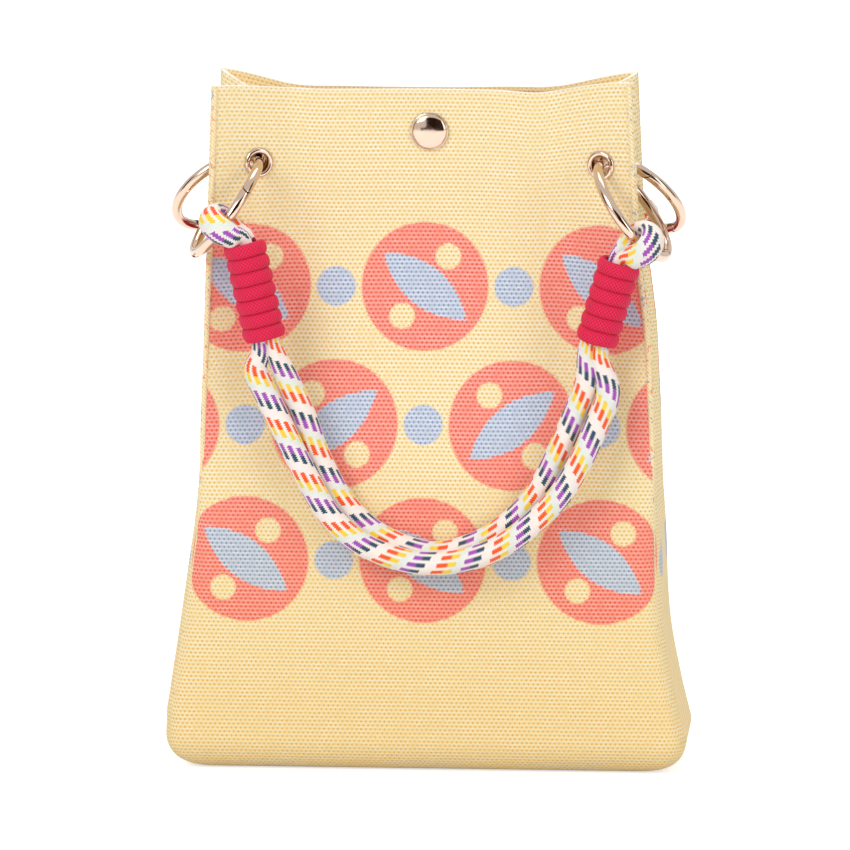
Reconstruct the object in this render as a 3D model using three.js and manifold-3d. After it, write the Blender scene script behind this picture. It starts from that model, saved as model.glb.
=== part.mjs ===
// A knitted handbag: two knitted panels, pleated side gussets and a moulded-up base, four eyelets,
// four spring-gate rings, two doubled rope handles with cord whippings, and a press snap.
// Millimetres, +Z up, the front faces -Y, and the origin is under the middle of the base.
import * as THREE from 'three';
import { mergeVertices } from 'three/addons/utils/BufferGeometryUtils.js';
import Module from 'manifold-3d';

const wasm = await Module();
wasm.setup();

// Knitted body
const bagHeight = 286;
const topHalfWidth = 88;
const bottomHalfWidth = 107.5;
const baseHalfDepth = 29.5;
const baseRadius = 15;
const baseCornerRadius = 3;
const knitThickness = 2;
const seamGap = 0.3;
const panelCrown = 1.2;
const bellyTop = 95;
const stackHeight = 50;
const stackBottom = bagHeight - stackHeight;
const stackSlant = THREE.MathUtils.degToRad(25);
const rearEyeletInset = 17;
const stackReferenceX = topHalfWidth - rearEyeletInset;
const stackReferenceY = 10;
const snapHalfDepth = 4.25;
const waistHalfDepth = 6;
const snapFlat = 10;
const waistInset = 48;
const waistX = topHalfWidth - waistInset;
const stackRun = 30;
const stackInnerX = topHalfWidth - stackRun;
const gussetRun = 29;
const gussetFoldRun = 3.5;
const pleatBottom = 85;
const pleatBend = 6;
const seatingPasses = 3;

// Eyelets and their washers
const eyeletDrop = 30;
const eyeletHeight = bagHeight - eyeletDrop;
const frontEyeletInset = { left: 18.5, right: 13.5 };
const eyeletBore = 3.9;
const eyeletWall = 0.35;
const eyeletLip = 1.2;
const washerThickness = 0.6;
const washerWidth = 1.6;
const eyeletRoll = 0.7;

// Spring-gate rings
const ringRadius = 22.8;
const wireRadius = 2.2;
const wireSides = 8;
const ringStep = THREE.MathUtils.degToRad(12);
const frontRingDrop = THREE.MathUtils.degToRad(-53);
const frontRingTilt = THREE.MathUtils.degToRad(12);
const rearRingDrop = THREE.MathUtils.degToRad(-45);
const rearRingTilt = THREE.MathUtils.degToRad(-17);
const gateHinge = THREE.MathUtils.degToRad(12);
const gateTip = THREE.MathUtils.degToRad(116);
const gateSlit = 0.4;
const cutSpan = 8;
const cutOverlap = THREE.MathUtils.degToRad(9);
const tongueThickness = 1.3;
const tongueRadius = 1.9;
const shoulderOffset = 2.6;
const pinRadius = 0.55;
const pinLength = 4;
const fitGap = 0.3;
const springLength = 2.4;
const springHeight = 1.6;

// Press snap
const snapDrop = 17.5;
const snapHeight = bagHeight - snapDrop;
const snapX = 2;
const snapCapRadius = 7.8;
const snapCapHeight = 2.8;
const snapRimHeight = 0.9;
const snapPostRadius = 1.4;
const socketRadius = 5.6;
const socketHeight = 2.2;
const socketBore = 2.4;
const socketBoreDepth = 1.8;
const studRadius = 5;
const studPlate = 0.8;
const studPin = 1.9;
const studPinHeight = 2.6;
const rivetHeadRadius = 5.5;
const rivetHeadHeight = 1.2;

// Rope handles
const ropeRadius = 5;
const ropeSides = 8;
const bightRadius = 7.8;
const bightStep = THREE.MathUtils.degToRad(25);
const bightWrap = THREE.MathUtils.degToRad(198);
const squeezedHalfWidth = 2.4;
const squeezedHalfDepth = 4.3;
const strandOffset = 2.75;
const ropeEndGap = 1.2;
const whippingDrop = 11;
const whippingMargin = 3.9;
const spreadSteps = 3;

// Cord whippings
const whippingCore = 5.85;
const cordHalfThickness = 1.35;
const cordHalfWidth = 2.6;
const turnPitch = 5.9;
const loopSteps = 20;
const cordSides = 6;
const leftTurns = 7;
const rightTurns = 6;

const knitYellow = { color: 0xfae1aa, roughness: 0.95, metalness: 0 };
const knitGold = { color: 0xf3cd82, roughness: 0.95, metalness: 0 };
const paleGold = { color: 0xe6cfae, roughness: 0.15, metalness: 1 };
const steel = { color: 0xb9b4ac, roughness: 0.3, metalness: 1 };
const ropeCream = { color: 0xfdf1e8, roughness: 0.85, metalness: 0 };
const crimson = { color: 0xed0b55, roughness: 0.7, metalness: 0 };

const bag = new THREE.Group();
const mix = THREE.MathUtils.lerp;
const smooth = (value, low, high) => THREE.MathUtils.smoothstep(value, low, high);

function addMesh(parent, name, geometry, look) {
  const mesh = new THREE.Mesh(geometry, new THREE.MeshStandardMaterial(look));
  mesh.name = name;
  parent.add(mesh);
  return mesh;
}

// A closed geometry from points and triangles, turned inside out if its volume is negative
function closedGeometry(points, triangles) {
  let volume = 0;
  for (const [a, b, c] of triangles) {
    volume += points[a].dot(new THREE.Vector3().crossVectors(points[b], points[c]));
  }
  const faces = volume < 0 ? triangles.map(([a, b, c]) => [a, c, b]) : triangles;
  const geometry = new THREE.BufferGeometry();
  const position = points.flatMap((point) => point.toArray());
  geometry.setAttribute('position', new THREE.Float32BufferAttribute(position, 3));
  geometry.setIndex(faces.flat());
  geometry.computeVertexNormals();
  return geometry;
}

// Boolean cuts and joins
function toSolid(geometry) {
  const bare = geometry.clone();
  bare.deleteAttribute('normal');
  bare.deleteAttribute('uv');
  const merged = mergeVertices(bare, 1e-4);
  return new wasm.Manifold(new wasm.Mesh({
    numProp: 3,
    vertProperties: new Float32Array(merged.attributes.position.array),
    triVerts: new Uint32Array(merged.index.array),
  }));
}

function fromSolid(solid) {
  const { vertProperties, triVerts, numProp } = solid.getMesh();
  const geometry = new THREE.BufferGeometry();
  const position = [];
  for (let i = 0; i < vertProperties.length; i += numProp) {
    position.push(vertProperties[i], vertProperties[i + 1], vertProperties[i + 2]);
  }
  geometry.setAttribute('position', new THREE.Float32BufferAttribute(position, 3));
  geometry.setIndex(Array.from(triVerts));
  geometry.computeVertexNormals();
  return geometry;
}

function cut(geometry, tools) {
  return fromSolid(tools.reduce((solid, tool) => solid.subtract(toSolid(tool)), toSolid(geometry)));
}

// A sheet given by its outer face, with the wall's thickness added towards the inside
function sheetGeometry(outer, columns, rows, thickness, inside) {
  const points = [];
  const step = 1e-3;
  const faceNormal = (u, v) => {
    const [u0, u1] = [Math.max(columns[0], u - step), Math.min(columns[columns.length - 1], u + step)];
    const [v0, v1] = [Math.max(rows[0], v - step), Math.min(rows[rows.length - 1], v + step)];
    const alongU = outer(u1, v).sub(outer(u0, v));
    const alongV = outer(u, v1).sub(outer(u, v0));
    const normal = alongU.cross(alongV).setZ(0).normalize();
    return normal.dot(inside(u, v)) < 0 ? normal.negate() : normal;
  };
  for (const layer of [0, 1]) {
    for (const v of rows) {
      for (const u of columns) {
        points.push(outer(u, v).addScaledVector(faceNormal(u, v), layer * thickness));
      }
    }
  }
  const [nu, nv] = [columns.length, rows.length];
  const at = (layer, j, i) => (layer * nv + j) * nu + i;
  const triangles = [];
  const quad = (a, b, c, d) => triangles.push([a, b, c], [a, c, d]);
  for (let j = 0; j < nv - 1; j += 1) {
    for (let i = 0; i < nu - 1; i += 1) {
      quad(at(0, j, i), at(0, j, i + 1), at(0, j + 1, i + 1), at(0, j + 1, i));
      quad(at(1, j, i), at(1, j + 1, i), at(1, j + 1, i + 1), at(1, j, i + 1));
    }
    quad(at(0, j, 0), at(0, j + 1, 0), at(1, j + 1, 0), at(1, j, 0));
    quad(at(0, j, nu - 1), at(1, j, nu - 1), at(1, j + 1, nu - 1), at(0, j + 1, nu - 1));
  }
  for (let i = 0; i < nu - 1; i += 1) {
    quad(at(0, 0, i), at(1, 0, i), at(1, 0, i + 1), at(0, 0, i + 1));
    quad(at(0, nv - 1, i), at(0, nv - 1, i + 1), at(1, nv - 1, i + 1), at(1, nv - 1, i));
  }
  return closedGeometry(points, triangles);
}

// A closed tube through rings of points, each ring the same count
function tubeGeometry(rings) {
  const sides = rings[0].length;
  const points = rings.flat();
  const triangles = [];
  for (let k = 0; k < rings.length - 1; k += 1) {
    for (let i = 0; i < sides; i += 1) {
      const [a, b] = [k * sides + i, k * sides + (i + 1) % sides];
      triangles.push([a, b, b + sides], [a, b + sides, a + sides]);
    }
  }
  const last = (rings.length - 1) * sides;
  for (let i = 1; i < sides - 1; i += 1) {
    triangles.push([0, i + 1, i], [last, last + i, last + i + 1]);
  }
  return closedGeometry(points, triangles);
}

function ovalRing(centre, across, up, halfWidth, halfHeight, sides) {
  return Array.from({ length: sides }, (_, i) => {
    const angle = (2 * Math.PI * (i + 0.5)) / sides;
    return centre.clone()
      .addScaledVector(across, halfWidth * Math.cos(angle))
      .addScaledVector(up, halfHeight * Math.sin(angle));
  });
}

// Outline of the bag: half width at a height, and half depth of a panel's outer face
function halfWidthAt(z) {
  const drop = (bagHeight - z) / (bagHeight - baseRadius);
  return topHalfWidth + (bottomHalfWidth - topHalfWidth) * (0.55 * drop + 0.45 * drop ** 5);
}

const stackFaceOffset = knitThickness + seamGap / 2;
const stackLineAt = (x) => stackReferenceY + (x - stackReferenceX) * Math.tan(stackSlant);
const stackOuterAt = (x) => stackLineAt(x) + stackFaceOffset / Math.cos(stackSlant);

function mouthHalfDepth(x) {
  if (x >= stackInnerX) return stackOuterAt(x);
  if (x <= waistX) return mix(snapHalfDepth, waistHalfDepth, smooth(x, snapFlat, waistX));
  const run = stackInnerX - waistX;
  const t = (x - waistX) / run;
  const rise = stackOuterAt(stackInnerX) - waistHalfDepth;
  return waistHalfDepth + rise * (3 * t ** 2 - 2 * t ** 3) + run * Math.tan(stackSlant) * (t ** 3 - t ** 2);
}

function panelHalfDepth(x, z) {
  const width = halfWidthAt(z);
  const crown = panelCrown * (1 - (x / width) ** 2) * smooth(z, baseRadius, bellyTop);
  const folded = smooth(z, bellyTop, stackBottom);
  return mix(baseHalfDepth + crown, mouthHalfDepth(x), folded);
}

const panelBottom = baseRadius + seamGap + 0.1;
const evenly = (from, to, steps) => Array.from({ length: steps }, (_, k) => mix(from, to, k / steps));
const rows = [
  ...evenly(panelBottom, bellyTop, 4),
  ...evenly(bellyTop, stackBottom, 7),
  ...evenly(stackBottom, bagHeight, 2),
  bagHeight,
];
const halfColumns = [0.14, 0.3, 0.42, 0.54, 0.65, 0.74, 0.82, 0.91, 1];
const panelColumns = [...halfColumns.map((u) => -u).reverse(), 0, ...halfColumns];
const panelOuter = (front) => (u, z) => {
  const x = u * halfWidthAt(z);
  return new THREE.Vector3(x, front * panelHalfDepth(Math.abs(x), z), z);
};

// A gusset half in its own quadrant: from the corner along the panel to the pleat's fold
function gussetPath(z) {
  const width = halfWidthAt(z);
  const edge = new THREE.Vector2(width, panelHalfDepth(width, z));
  const pleated = smooth(z, pleatBottom, stackBottom);
  const slant = Math.atan(Math.tan(stackSlant) * smooth(z, bellyTop, stackBottom));
  const inward = new THREE.Vector2(-Math.cos(slant), -Math.sin(slant));
  const normal = new THREE.Vector2(Math.sin(slant), -Math.cos(slant));
  const startAt = (closing) => {
    const inset = knitThickness + seamGap + knitThickness * closing;
    return edge.clone().addScaledVector(normal, inset);
  };
  const foldFrom = (start) => {
    const folded = start.clone().addScaledVector(inward, gussetRun);
    return new THREE.Vector2(mix(width, folded.x, pleated), mix(pleatBend, folded.y, pleated));
  };
  let start = startAt(pleated);
  for (let pass = 0; pass < seatingPasses; pass += 1) {
    const closing = Math.max(0, foldFrom(start).sub(start).normalize().dot(inward));
    start = startAt(closing);
  }
  const bend = foldFrom(start);
  const fold = new THREE.Vector2(bend.x - gussetFoldRun * pleated, seamGap / 2);
  return { start, bend, fold };
}

const gussetColumns = [0, 0.25, 0.5, 0.75, 1, 1.5, 2];
const gussetOuter = (side, front) => (u, z) => {
  const { start, bend, fold } = gussetPath(z);
  const at = u <= 1 ? start.lerp(bend, u) : bend.lerp(fold, u - 1);
  return new THREE.Vector3(side * at.x, front * at.y, z);
};

// Where an eyelet goes through the panel and the folded gusset behind it
function eyeletFrame(side, front, x) {
  const centre = new THREE.Vector3(side * x, front * stackLineAt(x), eyeletHeight);
  const outward = new THREE.Vector3(-side * Math.sin(stackSlant), front * Math.cos(stackSlant), 0);
  const corner = new THREE.Vector3(side * Math.cos(stackSlant), front * Math.sin(stackSlant), 0);
  return { centre, outward, corner };
}

const stations = [
  { name: 'front_left', side: -1, front: -1, inset: frontEyeletInset.left },
  { name: 'front_right', side: 1, front: -1, inset: frontEyeletInset.right },
  { name: 'rear_left', side: -1, front: 1, inset: rearEyeletInset },
  { name: 'rear_right', side: 1, front: 1, inset: rearEyeletInset },
].map((station) => {
  const { side, front, inset } = station;
  return { ...station, ...eyeletFrame(side, front, topHalfWidth - inset) };
});

// A cylinder or lathe part set on a point with its axis along a direction
function setOnAxis(mesh, centre, axis) {
  mesh.position.copy(centre);
  mesh.quaternion.setFromUnitVectors(new THREE.Vector3(0, 1, 0), axis);
}

function drill(radius, length, centre, axis, sides) {
  const mesh = new THREE.Mesh(new THREE.CylinderGeometry(radius, radius, length, sides));
  setOnAxis(mesh, centre, axis);
  mesh.updateMatrix();
  return mesh.geometry.applyMatrix4(mesh.matrix);
}

const eyeletHole = eyeletBore + eyeletWall + fitGap;
const holeSides = 14;
const snapHole = snapPostRadius + fitGap;

function eyeletDrill({ centre, outward }, offset, length) {
  return drill(eyeletHole, length, centre.clone().addScaledVector(outward, offset), outward, holeSides);
}

function addBody() {
  for (const [name, front] of [['front_panel', -1], ['back_panel', 1]]) {
    const inside = () => new THREE.Vector3(0, -front, 0);
    const sheet = sheetGeometry(panelOuter(front), panelColumns, rows, knitThickness, inside);
    const holes = stations.filter((station) => station.front === front)
      .map((station) => eyeletDrill(station, knitThickness, 4 * knitThickness));
    const snapCentre = new THREE.Vector3(snapX, front * snapHalfDepth, snapHeight);
    holes.push(drill(snapHole, 4 * knitThickness, snapCentre, new THREE.Vector3(0, 1, 0), holeSides));
    addMesh(bag, name, cut(sheet, holes), knitYellow);
  }
  for (const side of [-1, 1]) {
    for (const front of [-1, 1]) {
      const inside = (u) => (u < 1.25 ? new THREE.Vector3(-side, front, 0) : new THREE.Vector3(-side, 0, 0));
      const sheet = sheetGeometry(gussetOuter(side, front), gussetColumns, rows, knitThickness, inside);
      const holes = stations.filter((station) => station.side === side && station.front === front)
        .map((station) => eyeletDrill(station, -knitThickness, 3 * knitThickness));
      const name = `${side < 0 ? 'left' : 'right'}_gusset_${front < 0 ? 'front' : 'back'}`;
      addMesh(bag, name, cut(sheet, holes), knitYellow);
    }
  }
}

// Base: a flat bottom that rolls up on all sides to meet the panels and gussets
function baseLoop(inset, z) {
  const corner = Math.max(baseCornerRadius - inset, 0.5);
  const [halfX, halfY] = [bottomHalfWidth - inset, baseHalfDepth - inset];
  const loop = [];
  for (const [sx, sy, from] of [[1, 1, 0], [-1, 1, 1], [-1, -1, 2], [1, -1, 3]]) {
    for (const turn of [0, 0.5, 1]) {
      const angle = (from + turn) * (Math.PI / 2);
      loop.push(new THREE.Vector3(
        sx * (halfX - corner) + corner * Math.cos(angle),
        sy * (halfY - corner) + corner * Math.sin(angle),
        z,
      ));
    }
  }
  return loop;
}

function addBase() {
  const loops = [];
  const bends = 5;
  for (let k = 0; k <= bends; k += 1) {
    const angle = (k / bends) * (Math.PI / 2);
    loops.push(baseLoop(baseRadius * (1 - Math.sin(angle)), baseRadius * (1 - Math.cos(angle))));
  }
  const innerRadius = baseRadius - knitThickness;
  for (let k = bends; k >= 0; k -= 1) {
    const angle = (k / bends) * (Math.PI / 2);
    const inset = baseRadius - innerRadius * Math.sin(angle);
    loops.push(baseLoop(inset, baseRadius - innerRadius * Math.cos(angle)));
  }
  const count = loops[0].length;
  const points = loops.flat();
  const triangles = [];
  for (let k = 0; k < loops.length - 1; k += 1) {
    for (let i = 0; i < count; i += 1) {
      const [a, b] = [k * count + i, k * count + (i + 1) % count];
      triangles.push([a, b, b + count], [a, b + count, a + count]);
    }
  }
  const last = (loops.length - 1) * count;
  points.push(new THREE.Vector3(0, 0, 0), new THREE.Vector3(0, 0, knitThickness));
  for (let i = 0; i < count; i += 1) {
    const next = (i + 1) % count;
    triangles.push([points.length - 2, next, i], [points.length - 1, last + i, last + next]);
  }
  addMesh(bag, 'base_panel', closedGeometry(points, triangles), knitGold);
}

function latheSolid(profile, segments) {
  const points = profile.map(([radius, height]) => new THREE.Vector2(radius, height));
  return new THREE.LatheGeometry(points, segments);
}

// Eyelets: a barrel with a rounded lip outside and a roll behind its washer
function latheRing(profile, segments) {
  return latheSolid([...profile, profile[0]], segments);
}

function addEyelets() {
  const face = stackFaceOffset + fitGap / 2;
  const outerWall = eyeletBore + eyeletWall;
  const back = -(face + washerThickness + fitGap);
  const lipCentre = eyeletBore + eyeletLip;
  const profile = [
    [eyeletBore, back - eyeletRoll],
    [outerWall + eyeletRoll, back - eyeletRoll],
    [outerWall + eyeletRoll, back],
    [outerWall, back],
    [outerWall, face],
    [lipCentre + eyeletLip, face],
    ...[0.25, 0.5, 0.75].map((turn) => [
      lipCentre + eyeletLip * Math.cos(Math.PI * turn),
      face + eyeletLip * Math.sin(Math.PI * turn),
    ]),
    [eyeletBore, face],
  ];
  const washerInner = outerWall + fitGap;
  const washerProfile = [
    [washerInner, -face - washerThickness],
    [washerInner + washerWidth, -face - washerThickness],
    [washerInner + washerWidth, -face],
    [washerInner, -face],
  ];
  for (const station of stations) {
    const eyelet = addMesh(bag, `${station.name}_eyelet`, latheRing(profile, holeSides), paleGold);
    setOnAxis(eyelet, station.centre, station.outward);
    const washer = addMesh(bag, `${station.name}_washer`, latheRing(washerProfile, holeSides), paleGold);
    setOnAxis(washer, station.centre, station.outward);
  }
}

// Spring-gate rings in their own plane: X points from the eyelet to the far end, the gate is on +Y
function arcTube(from, to) {
  const steps = Math.ceil((to - from) / ringStep);
  const normal = new THREE.Vector3(0, 0, 1);
  const rings = Array.from({ length: steps + 1 }, (_, k) => {
    const angle = mix(from, to, k / steps);
    const radial = new THREE.Vector3(Math.cos(angle), Math.sin(angle), 0);
    const centre = radial.clone().multiplyScalar(ringRadius);
    return ovalRing(centre, radial, normal, wireRadius, wireRadius, wireSides);
  });
  return tubeGeometry(rings);
}

const onRing = (angle) => new THREE.Vector3(Math.cos(angle), Math.sin(angle), 0).multiplyScalar(ringRadius);

// A block given by its extents along a direction in the ring's plane, across it and along the ring's axis
function blockOn(origin, angle, [x0, x1], halfY, halfZ) {
  const block = new THREE.BoxGeometry(x1 - x0, 2 * halfY, 2 * halfZ);
  block.translate((x0 + x1) / 2, 0, 0);
  return block.rotateZ(angle).translate(origin.x, origin.y, origin.z);
}

const acrossRing = new THREE.Vector3(0, 0, 1);

function ringPieces() {
  const hinge = onRing(gateHinge);
  const tip = onRing(gateTip);
  const along = gateHinge + Math.PI / 2;
  const chord = Math.atan2(tip.y - hinge.y, tip.x - hinge.x);
  const slotHalf = tongueThickness / 2 + fitGap;
  const springBack = tongueRadius + fitGap + springLength;
  const pinHole = drill(pinRadius + fitGap, 3 * wireRadius, hinge, acrossRing, 10);

  const beyondHinge = toSolid(blockOn(hinge, along, [0, cutSpan], cutSpan, cutSpan))
    .subtract(toSolid(drill(wireRadius, 3 * cutSpan, hinge, acrossRing, 16)));
  const body = toSolid(arcTube(gateTip - cutOverlap, gateHinge + cutOverlap + 2 * Math.PI))
    .subtract(toSolid(blockOn(tip, chord, [-cutSpan, gateSlit / 2], cutSpan, cutSpan)))
    .subtract(beyondHinge)
    .subtract(toSolid(blockOn(hinge, along, [-springBack - fitGap, cutSpan], cutSpan, slotHalf)))
    .subtract(toSolid(pinHole));

  const arm = toSolid(arcTube(gateHinge, gateTip + cutOverlap))
    .subtract(toSolid(blockOn(tip, chord, [-gateSlit / 2, cutSpan], cutSpan, cutSpan)))
    .subtract(toSolid(blockOn(hinge, along, [-cutSpan, shoulderOffset], cutSpan, cutSpan)));
  const web = toSolid(arcTube(gateHinge, gateHinge + 2 * cutOverlap))
    .intersect(toSolid(blockOn(hinge, along, [0, shoulderOffset + 1], cutSpan, tongueThickness / 2)));
  const gate = arm.add(web)
    .add(toSolid(drill(tongueRadius, tongueThickness, hinge, acrossRing, 16)))
    .subtract(toSolid(pinHole));

  const pin = drill(pinRadius, pinLength, hinge, acrossRing, 10);
  const springSpan = [-springBack, -tongueRadius - fitGap];
  const spring = blockOn(hinge, along, springSpan, springHeight / 2, tongueThickness / 2);
  return { body: fromSolid(body), gate: fromSolid(gate), pin, spring };
}

// The ring's directions: radial from the eyelet, and across towards the arm outside the panel
function ringDirections(station, drop, tilt) {
  const up = new THREE.Vector3(0, 0, 1);
  const radial = station.corner.clone().multiplyScalar(Math.cos(drop)).addScaledVector(up, Math.sin(drop));
  const turned = station.corner.clone().multiplyScalar(-Math.sin(drop)).addScaledVector(up, Math.cos(drop));
  const arm = station.outward.clone().multiplyScalar(Math.cos(tilt)).addScaledVector(turned, Math.sin(tilt));
  return { radial, arm };
}

const ringOf = Object.fromEntries(stations.map((station) => {
  const isFront = station.front < 0;
  const directions = ringDirections(
    station,
    isFront ? frontRingDrop : rearRingDrop,
    isFront ? frontRingTilt : rearRingTilt,
  );
  const middle = station.centre.clone().addScaledVector(directions.radial, ringRadius);
  return [station.name, { ...directions, middle }];
}));

function addRings() {
  const { body, gate, pin, spring } = ringPieces();
  for (const station of stations) {
    const { radial, arm, middle } = ringOf[station.name];
    const gateArm = station.side < 0 ? arm : arm.clone().negate();
    const normal = new THREE.Vector3().crossVectors(radial, gateArm);
    const place = new THREE.Group();
    place.quaternion.setFromRotationMatrix(new THREE.Matrix4().makeBasis(radial, gateArm, normal));
    place.position.copy(middle);
    bag.add(place);
    addMesh(place, `${station.name}_ring`, body, paleGold);
    addMesh(place, `${station.name}_ring_gate`, gate, paleGold);
    addMesh(place, `${station.name}_ring_pin`, pin, steel);
    addMesh(place, `${station.name}_ring_spring`, spring, steel);
  }
}

// Press snap: cap and socket on the front panel, stud and rivet on the back panel
function addSnap() {
  const inner = snapHalfDepth - knitThickness;
  const capBase = snapHalfDepth + fitGap;
  const domeHeight = snapCapHeight - snapRimHeight;
  const capProfile = [
    [0, inner + fitGap],
    [snapPostRadius, inner + fitGap],
    [snapPostRadius, capBase],
    [snapCapRadius, capBase],
    [snapCapRadius, capBase + snapRimHeight],
    ...[0.25, 0.5, 0.75].map((turn) => [
      snapCapRadius * Math.cos(turn * Math.PI / 2),
      capBase + snapRimHeight + domeHeight * Math.sin(turn * Math.PI / 2),
    ]),
    [0, capBase + snapCapHeight],
  ];
  const socketTop = inner - fitGap;
  const socketFace = socketTop - socketHeight;
  const socketProfile = [
    [0, socketFace + socketBoreDepth],
    [socketBore, socketFace + socketBoreDepth],
    [socketBore, socketFace],
    [socketRadius, socketFace],
    [socketRadius, socketTop],
    [0, socketTop],
  ];
  const studBase = inner - fitGap;
  const studProfile = [
    [0, studBase - studPinHeight],
    [studPin, studBase - studPinHeight],
    [studPin, studBase - studPlate],
    [studRadius, studBase - studPlate],
    [studRadius, studBase],
    [0, studBase],
  ];
  const rivetBase = snapHalfDepth + fitGap;
  const rivetProfile = [
    [0, inner + fitGap],
    [snapPostRadius, inner + fitGap],
    [snapPostRadius, rivetBase],
    [rivetHeadRadius, rivetBase],
    [rivetHeadRadius * 0.8, rivetBase + rivetHeadHeight],
    [0, rivetBase + rivetHeadHeight],
  ];
  const centre = new THREE.Vector3(snapX, 0, snapHeight);
  const pieces = [
    ['snap_cap', capProfile, -1],
    ['snap_socket', socketProfile, -1],
    ['snap_stud', studProfile, 1],
    ['snap_rivet', rivetProfile, 1],
  ];
  for (const [name, profile, front] of pieces) {
    const piece = addMesh(bag, name, latheSolid(profile, holeSides), paleGold);
    setOnAxis(piece, centre, new THREE.Vector3(0, front, 0));
  }
}

// Rope handles. The strands' points between the whippings are [x, depth from the bag's middle, drop
// below the eyelets]
const grip = {
  left: {
    wrap: THREE.MathUtils.degToRad(68),
    tilt: THREE.MathUtils.degToRad(11.7),
    turns: leftTurns,
  },
  right: {
    wrap: THREE.MathUtils.degToRad(46),
    tilt: THREE.MathUtils.degToRad(-16.6),
    turns: rightTurns,
  },
};
const outerStrand = [
  [-67.8, 38.4, 82.5], [-62.5, 40.5, 94], [-54.5, 42.8, 110], [-45.5, 44.4, 128], [-36, 44.6, 143.5],
  [-23, 44.6, 154.5], [-7.5, 44.6, 160.5], [5, 44.6, 162], [18, 44.6, 160.5], [32, 44.6, 155.5],
  [46, 44.6, 145.5], [57.5, 44.6, 133.5], [66, 44, 120], [73, 42, 104.5], [78, 39.6, 90],
];
const innerStrand = [
  [69, 36.8, 86], [64, 36.2, 100], [58.5, 36.1, 113], [52, 36.1, 127], [44, 36.1, 139], [33, 36.1, 149],
  [20, 36.1, 156.3], [4, 36.1, 159.4], [-12.5, 36.1, 154.5], [-25, 36.1, 146], [-35, 36.1, 133.5],
  [-43, 36.1, 117], [-48.5, 36.1, 101], [-55.5, 36.5, 85.5],
];
const frontShift = { depth: 0, drop: 0 };
const rearShift = { depth: 0.6, drop: 5.5 };

// Where a handle hangs on a ring, and how the whipping below is placed
function gripAt(name, hand, front) {
  const { radial, arm, middle } = ringOf[name];
  const { wrap, tilt, turns } = grip[hand];
  const point = middle.clone()
    .addScaledVector(radial, ringRadius * Math.cos(wrap))
    .addScaledVector(arm, ringRadius * Math.sin(wrap));
  const wire = radial.clone().multiplyScalar(-Math.sin(wrap)).addScaledVector(arm, Math.cos(wrap));
  const outside = new THREE.Vector3(0, front, 0).addScaledVector(wire, -front * wire.y).normalize();
  const crest = new THREE.Vector3().crossVectors(wire, outside);
  if (crest.z < 0) crest.negate();
  const down = new THREE.Vector3(Math.sin(tilt), 0, -Math.cos(tilt));
  const top = point.clone().addScaledVector(crest, -whippingDrop);
  const length = turns * turnPitch;
  return { point, outside, crest, down, top, length, turns };
}

// Stations of the rope: a place, how far its section is squeezed (0 round, 1 as in a whipping), and
// the section's narrow direction where the run of the rope doesn't give it
function ropeStations(grips, front, shift) {
  const { left, right } = grips;
  const acrossOf = (place) => {
    const across = new THREE.Vector3().crossVectors(place.down, new THREE.Vector3(0, front, 0)).normalize();
    return across.x * place.point.x > 0 ? across : across.negate();
  };
  // Inside a whipping the strands turn from side by side, below, to one in front of the other, above
  const inside = (place, drops, outer) => drops.map((drop) => {
    const turned = smooth(1 - drop / place.length, 0, 1);
    const lean = -place.outside.dot(place.down);
    const foremost = place.outside.clone().addScaledVector(place.down, lean).normalize();
    const narrow = acrossOf(place).lerp(foremost, turned).normalize().multiplyScalar(outer ? 1 : -1);
    const at = place.top.clone().addScaledVector(place.down, drop).addScaledVector(narrow, strandOffset);
    return { at, squeeze: 1, narrow };
  });
  const strand = (list) => list.map(([x, depth, drop]) => ({
    at: new THREE.Vector3(x, front * (depth + shift.depth), eyeletHeight - drop - shift.drop),
    squeeze: 0,
    narrow: null,
  }));
  const spare = (bightWrap - Math.PI) / 2;
  const bightAt = (place, angle) => {
    const narrow = place.outside.clone().multiplyScalar(Math.cos(angle))
      .addScaledVector(place.crest, Math.sin(angle));
    return { at: place.point.clone().addScaledVector(narrow, bightRadius), squeeze: 0, narrow };
  };
  const bight = (place) => {
    const count = Math.round(bightWrap / bightStep);
    const angles = Array.from({ length: count + 1 }, (_, k) => mix(-spare, Math.PI + spare, k / count));
    return angles.map((angle) => bightAt(place, angle));
  };
  // From the top of a whipping the strands spread to the two ends of the bight
  const spread = (place, outer) => {
    const [start] = inside(place, [-whippingMargin], outer);
    const startMiddle = place.top.clone().addScaledVector(place.down, -whippingMargin);
    const endMiddle = place.point.clone().addScaledVector(place.crest, -bightRadius * Math.sin(spare));
    const endSide = place.outside.clone().multiplyScalar(outer ? 1 : -1);
    const list = Array.from({ length: spreadSteps }, (_, k) => {
      const t = (k + 1) / (spreadSteps + 1);
      const narrow = start.narrow.clone().lerp(endSide, t).normalize();
      const at = startMiddle.clone().lerp(endMiddle, t)
        .addScaledVector(narrow, mix(strandOffset, bightRadius, t));
      return { at, squeeze: 1 - t, narrow };
    });
    return [start, ...list];
  };
  const below = (place) => place.length + whippingMargin;
  const part = (place, share) => place.length * share;
  return [
    ...inside(left, [part(left, 0.5) + ropeEndGap / 2, part(left, 0.75), below(left)], true),
    ...strand(outerStrand),
    ...inside(right, [below(right), part(right, 0.75), part(right, 0.5), part(right, 0.25)], true),
    ...spread(right, true),
    ...bight(right),
    ...spread(right, false).reverse(),
    ...inside(right, [part(right, 0.25), part(right, 0.5), part(right, 0.75), below(right)], false),
    ...strand(innerStrand),
    ...inside(left, [below(left), part(left, 0.75), part(left, 0.5), part(left, 0.25)], false),
    ...spread(left, false),
    ...bight(left).reverse(),
    ...spread(left, true).reverse(),
    ...inside(left, [part(left, 0.25), part(left, 0.5) - ropeEndGap / 2], true),
  ];
}

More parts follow.
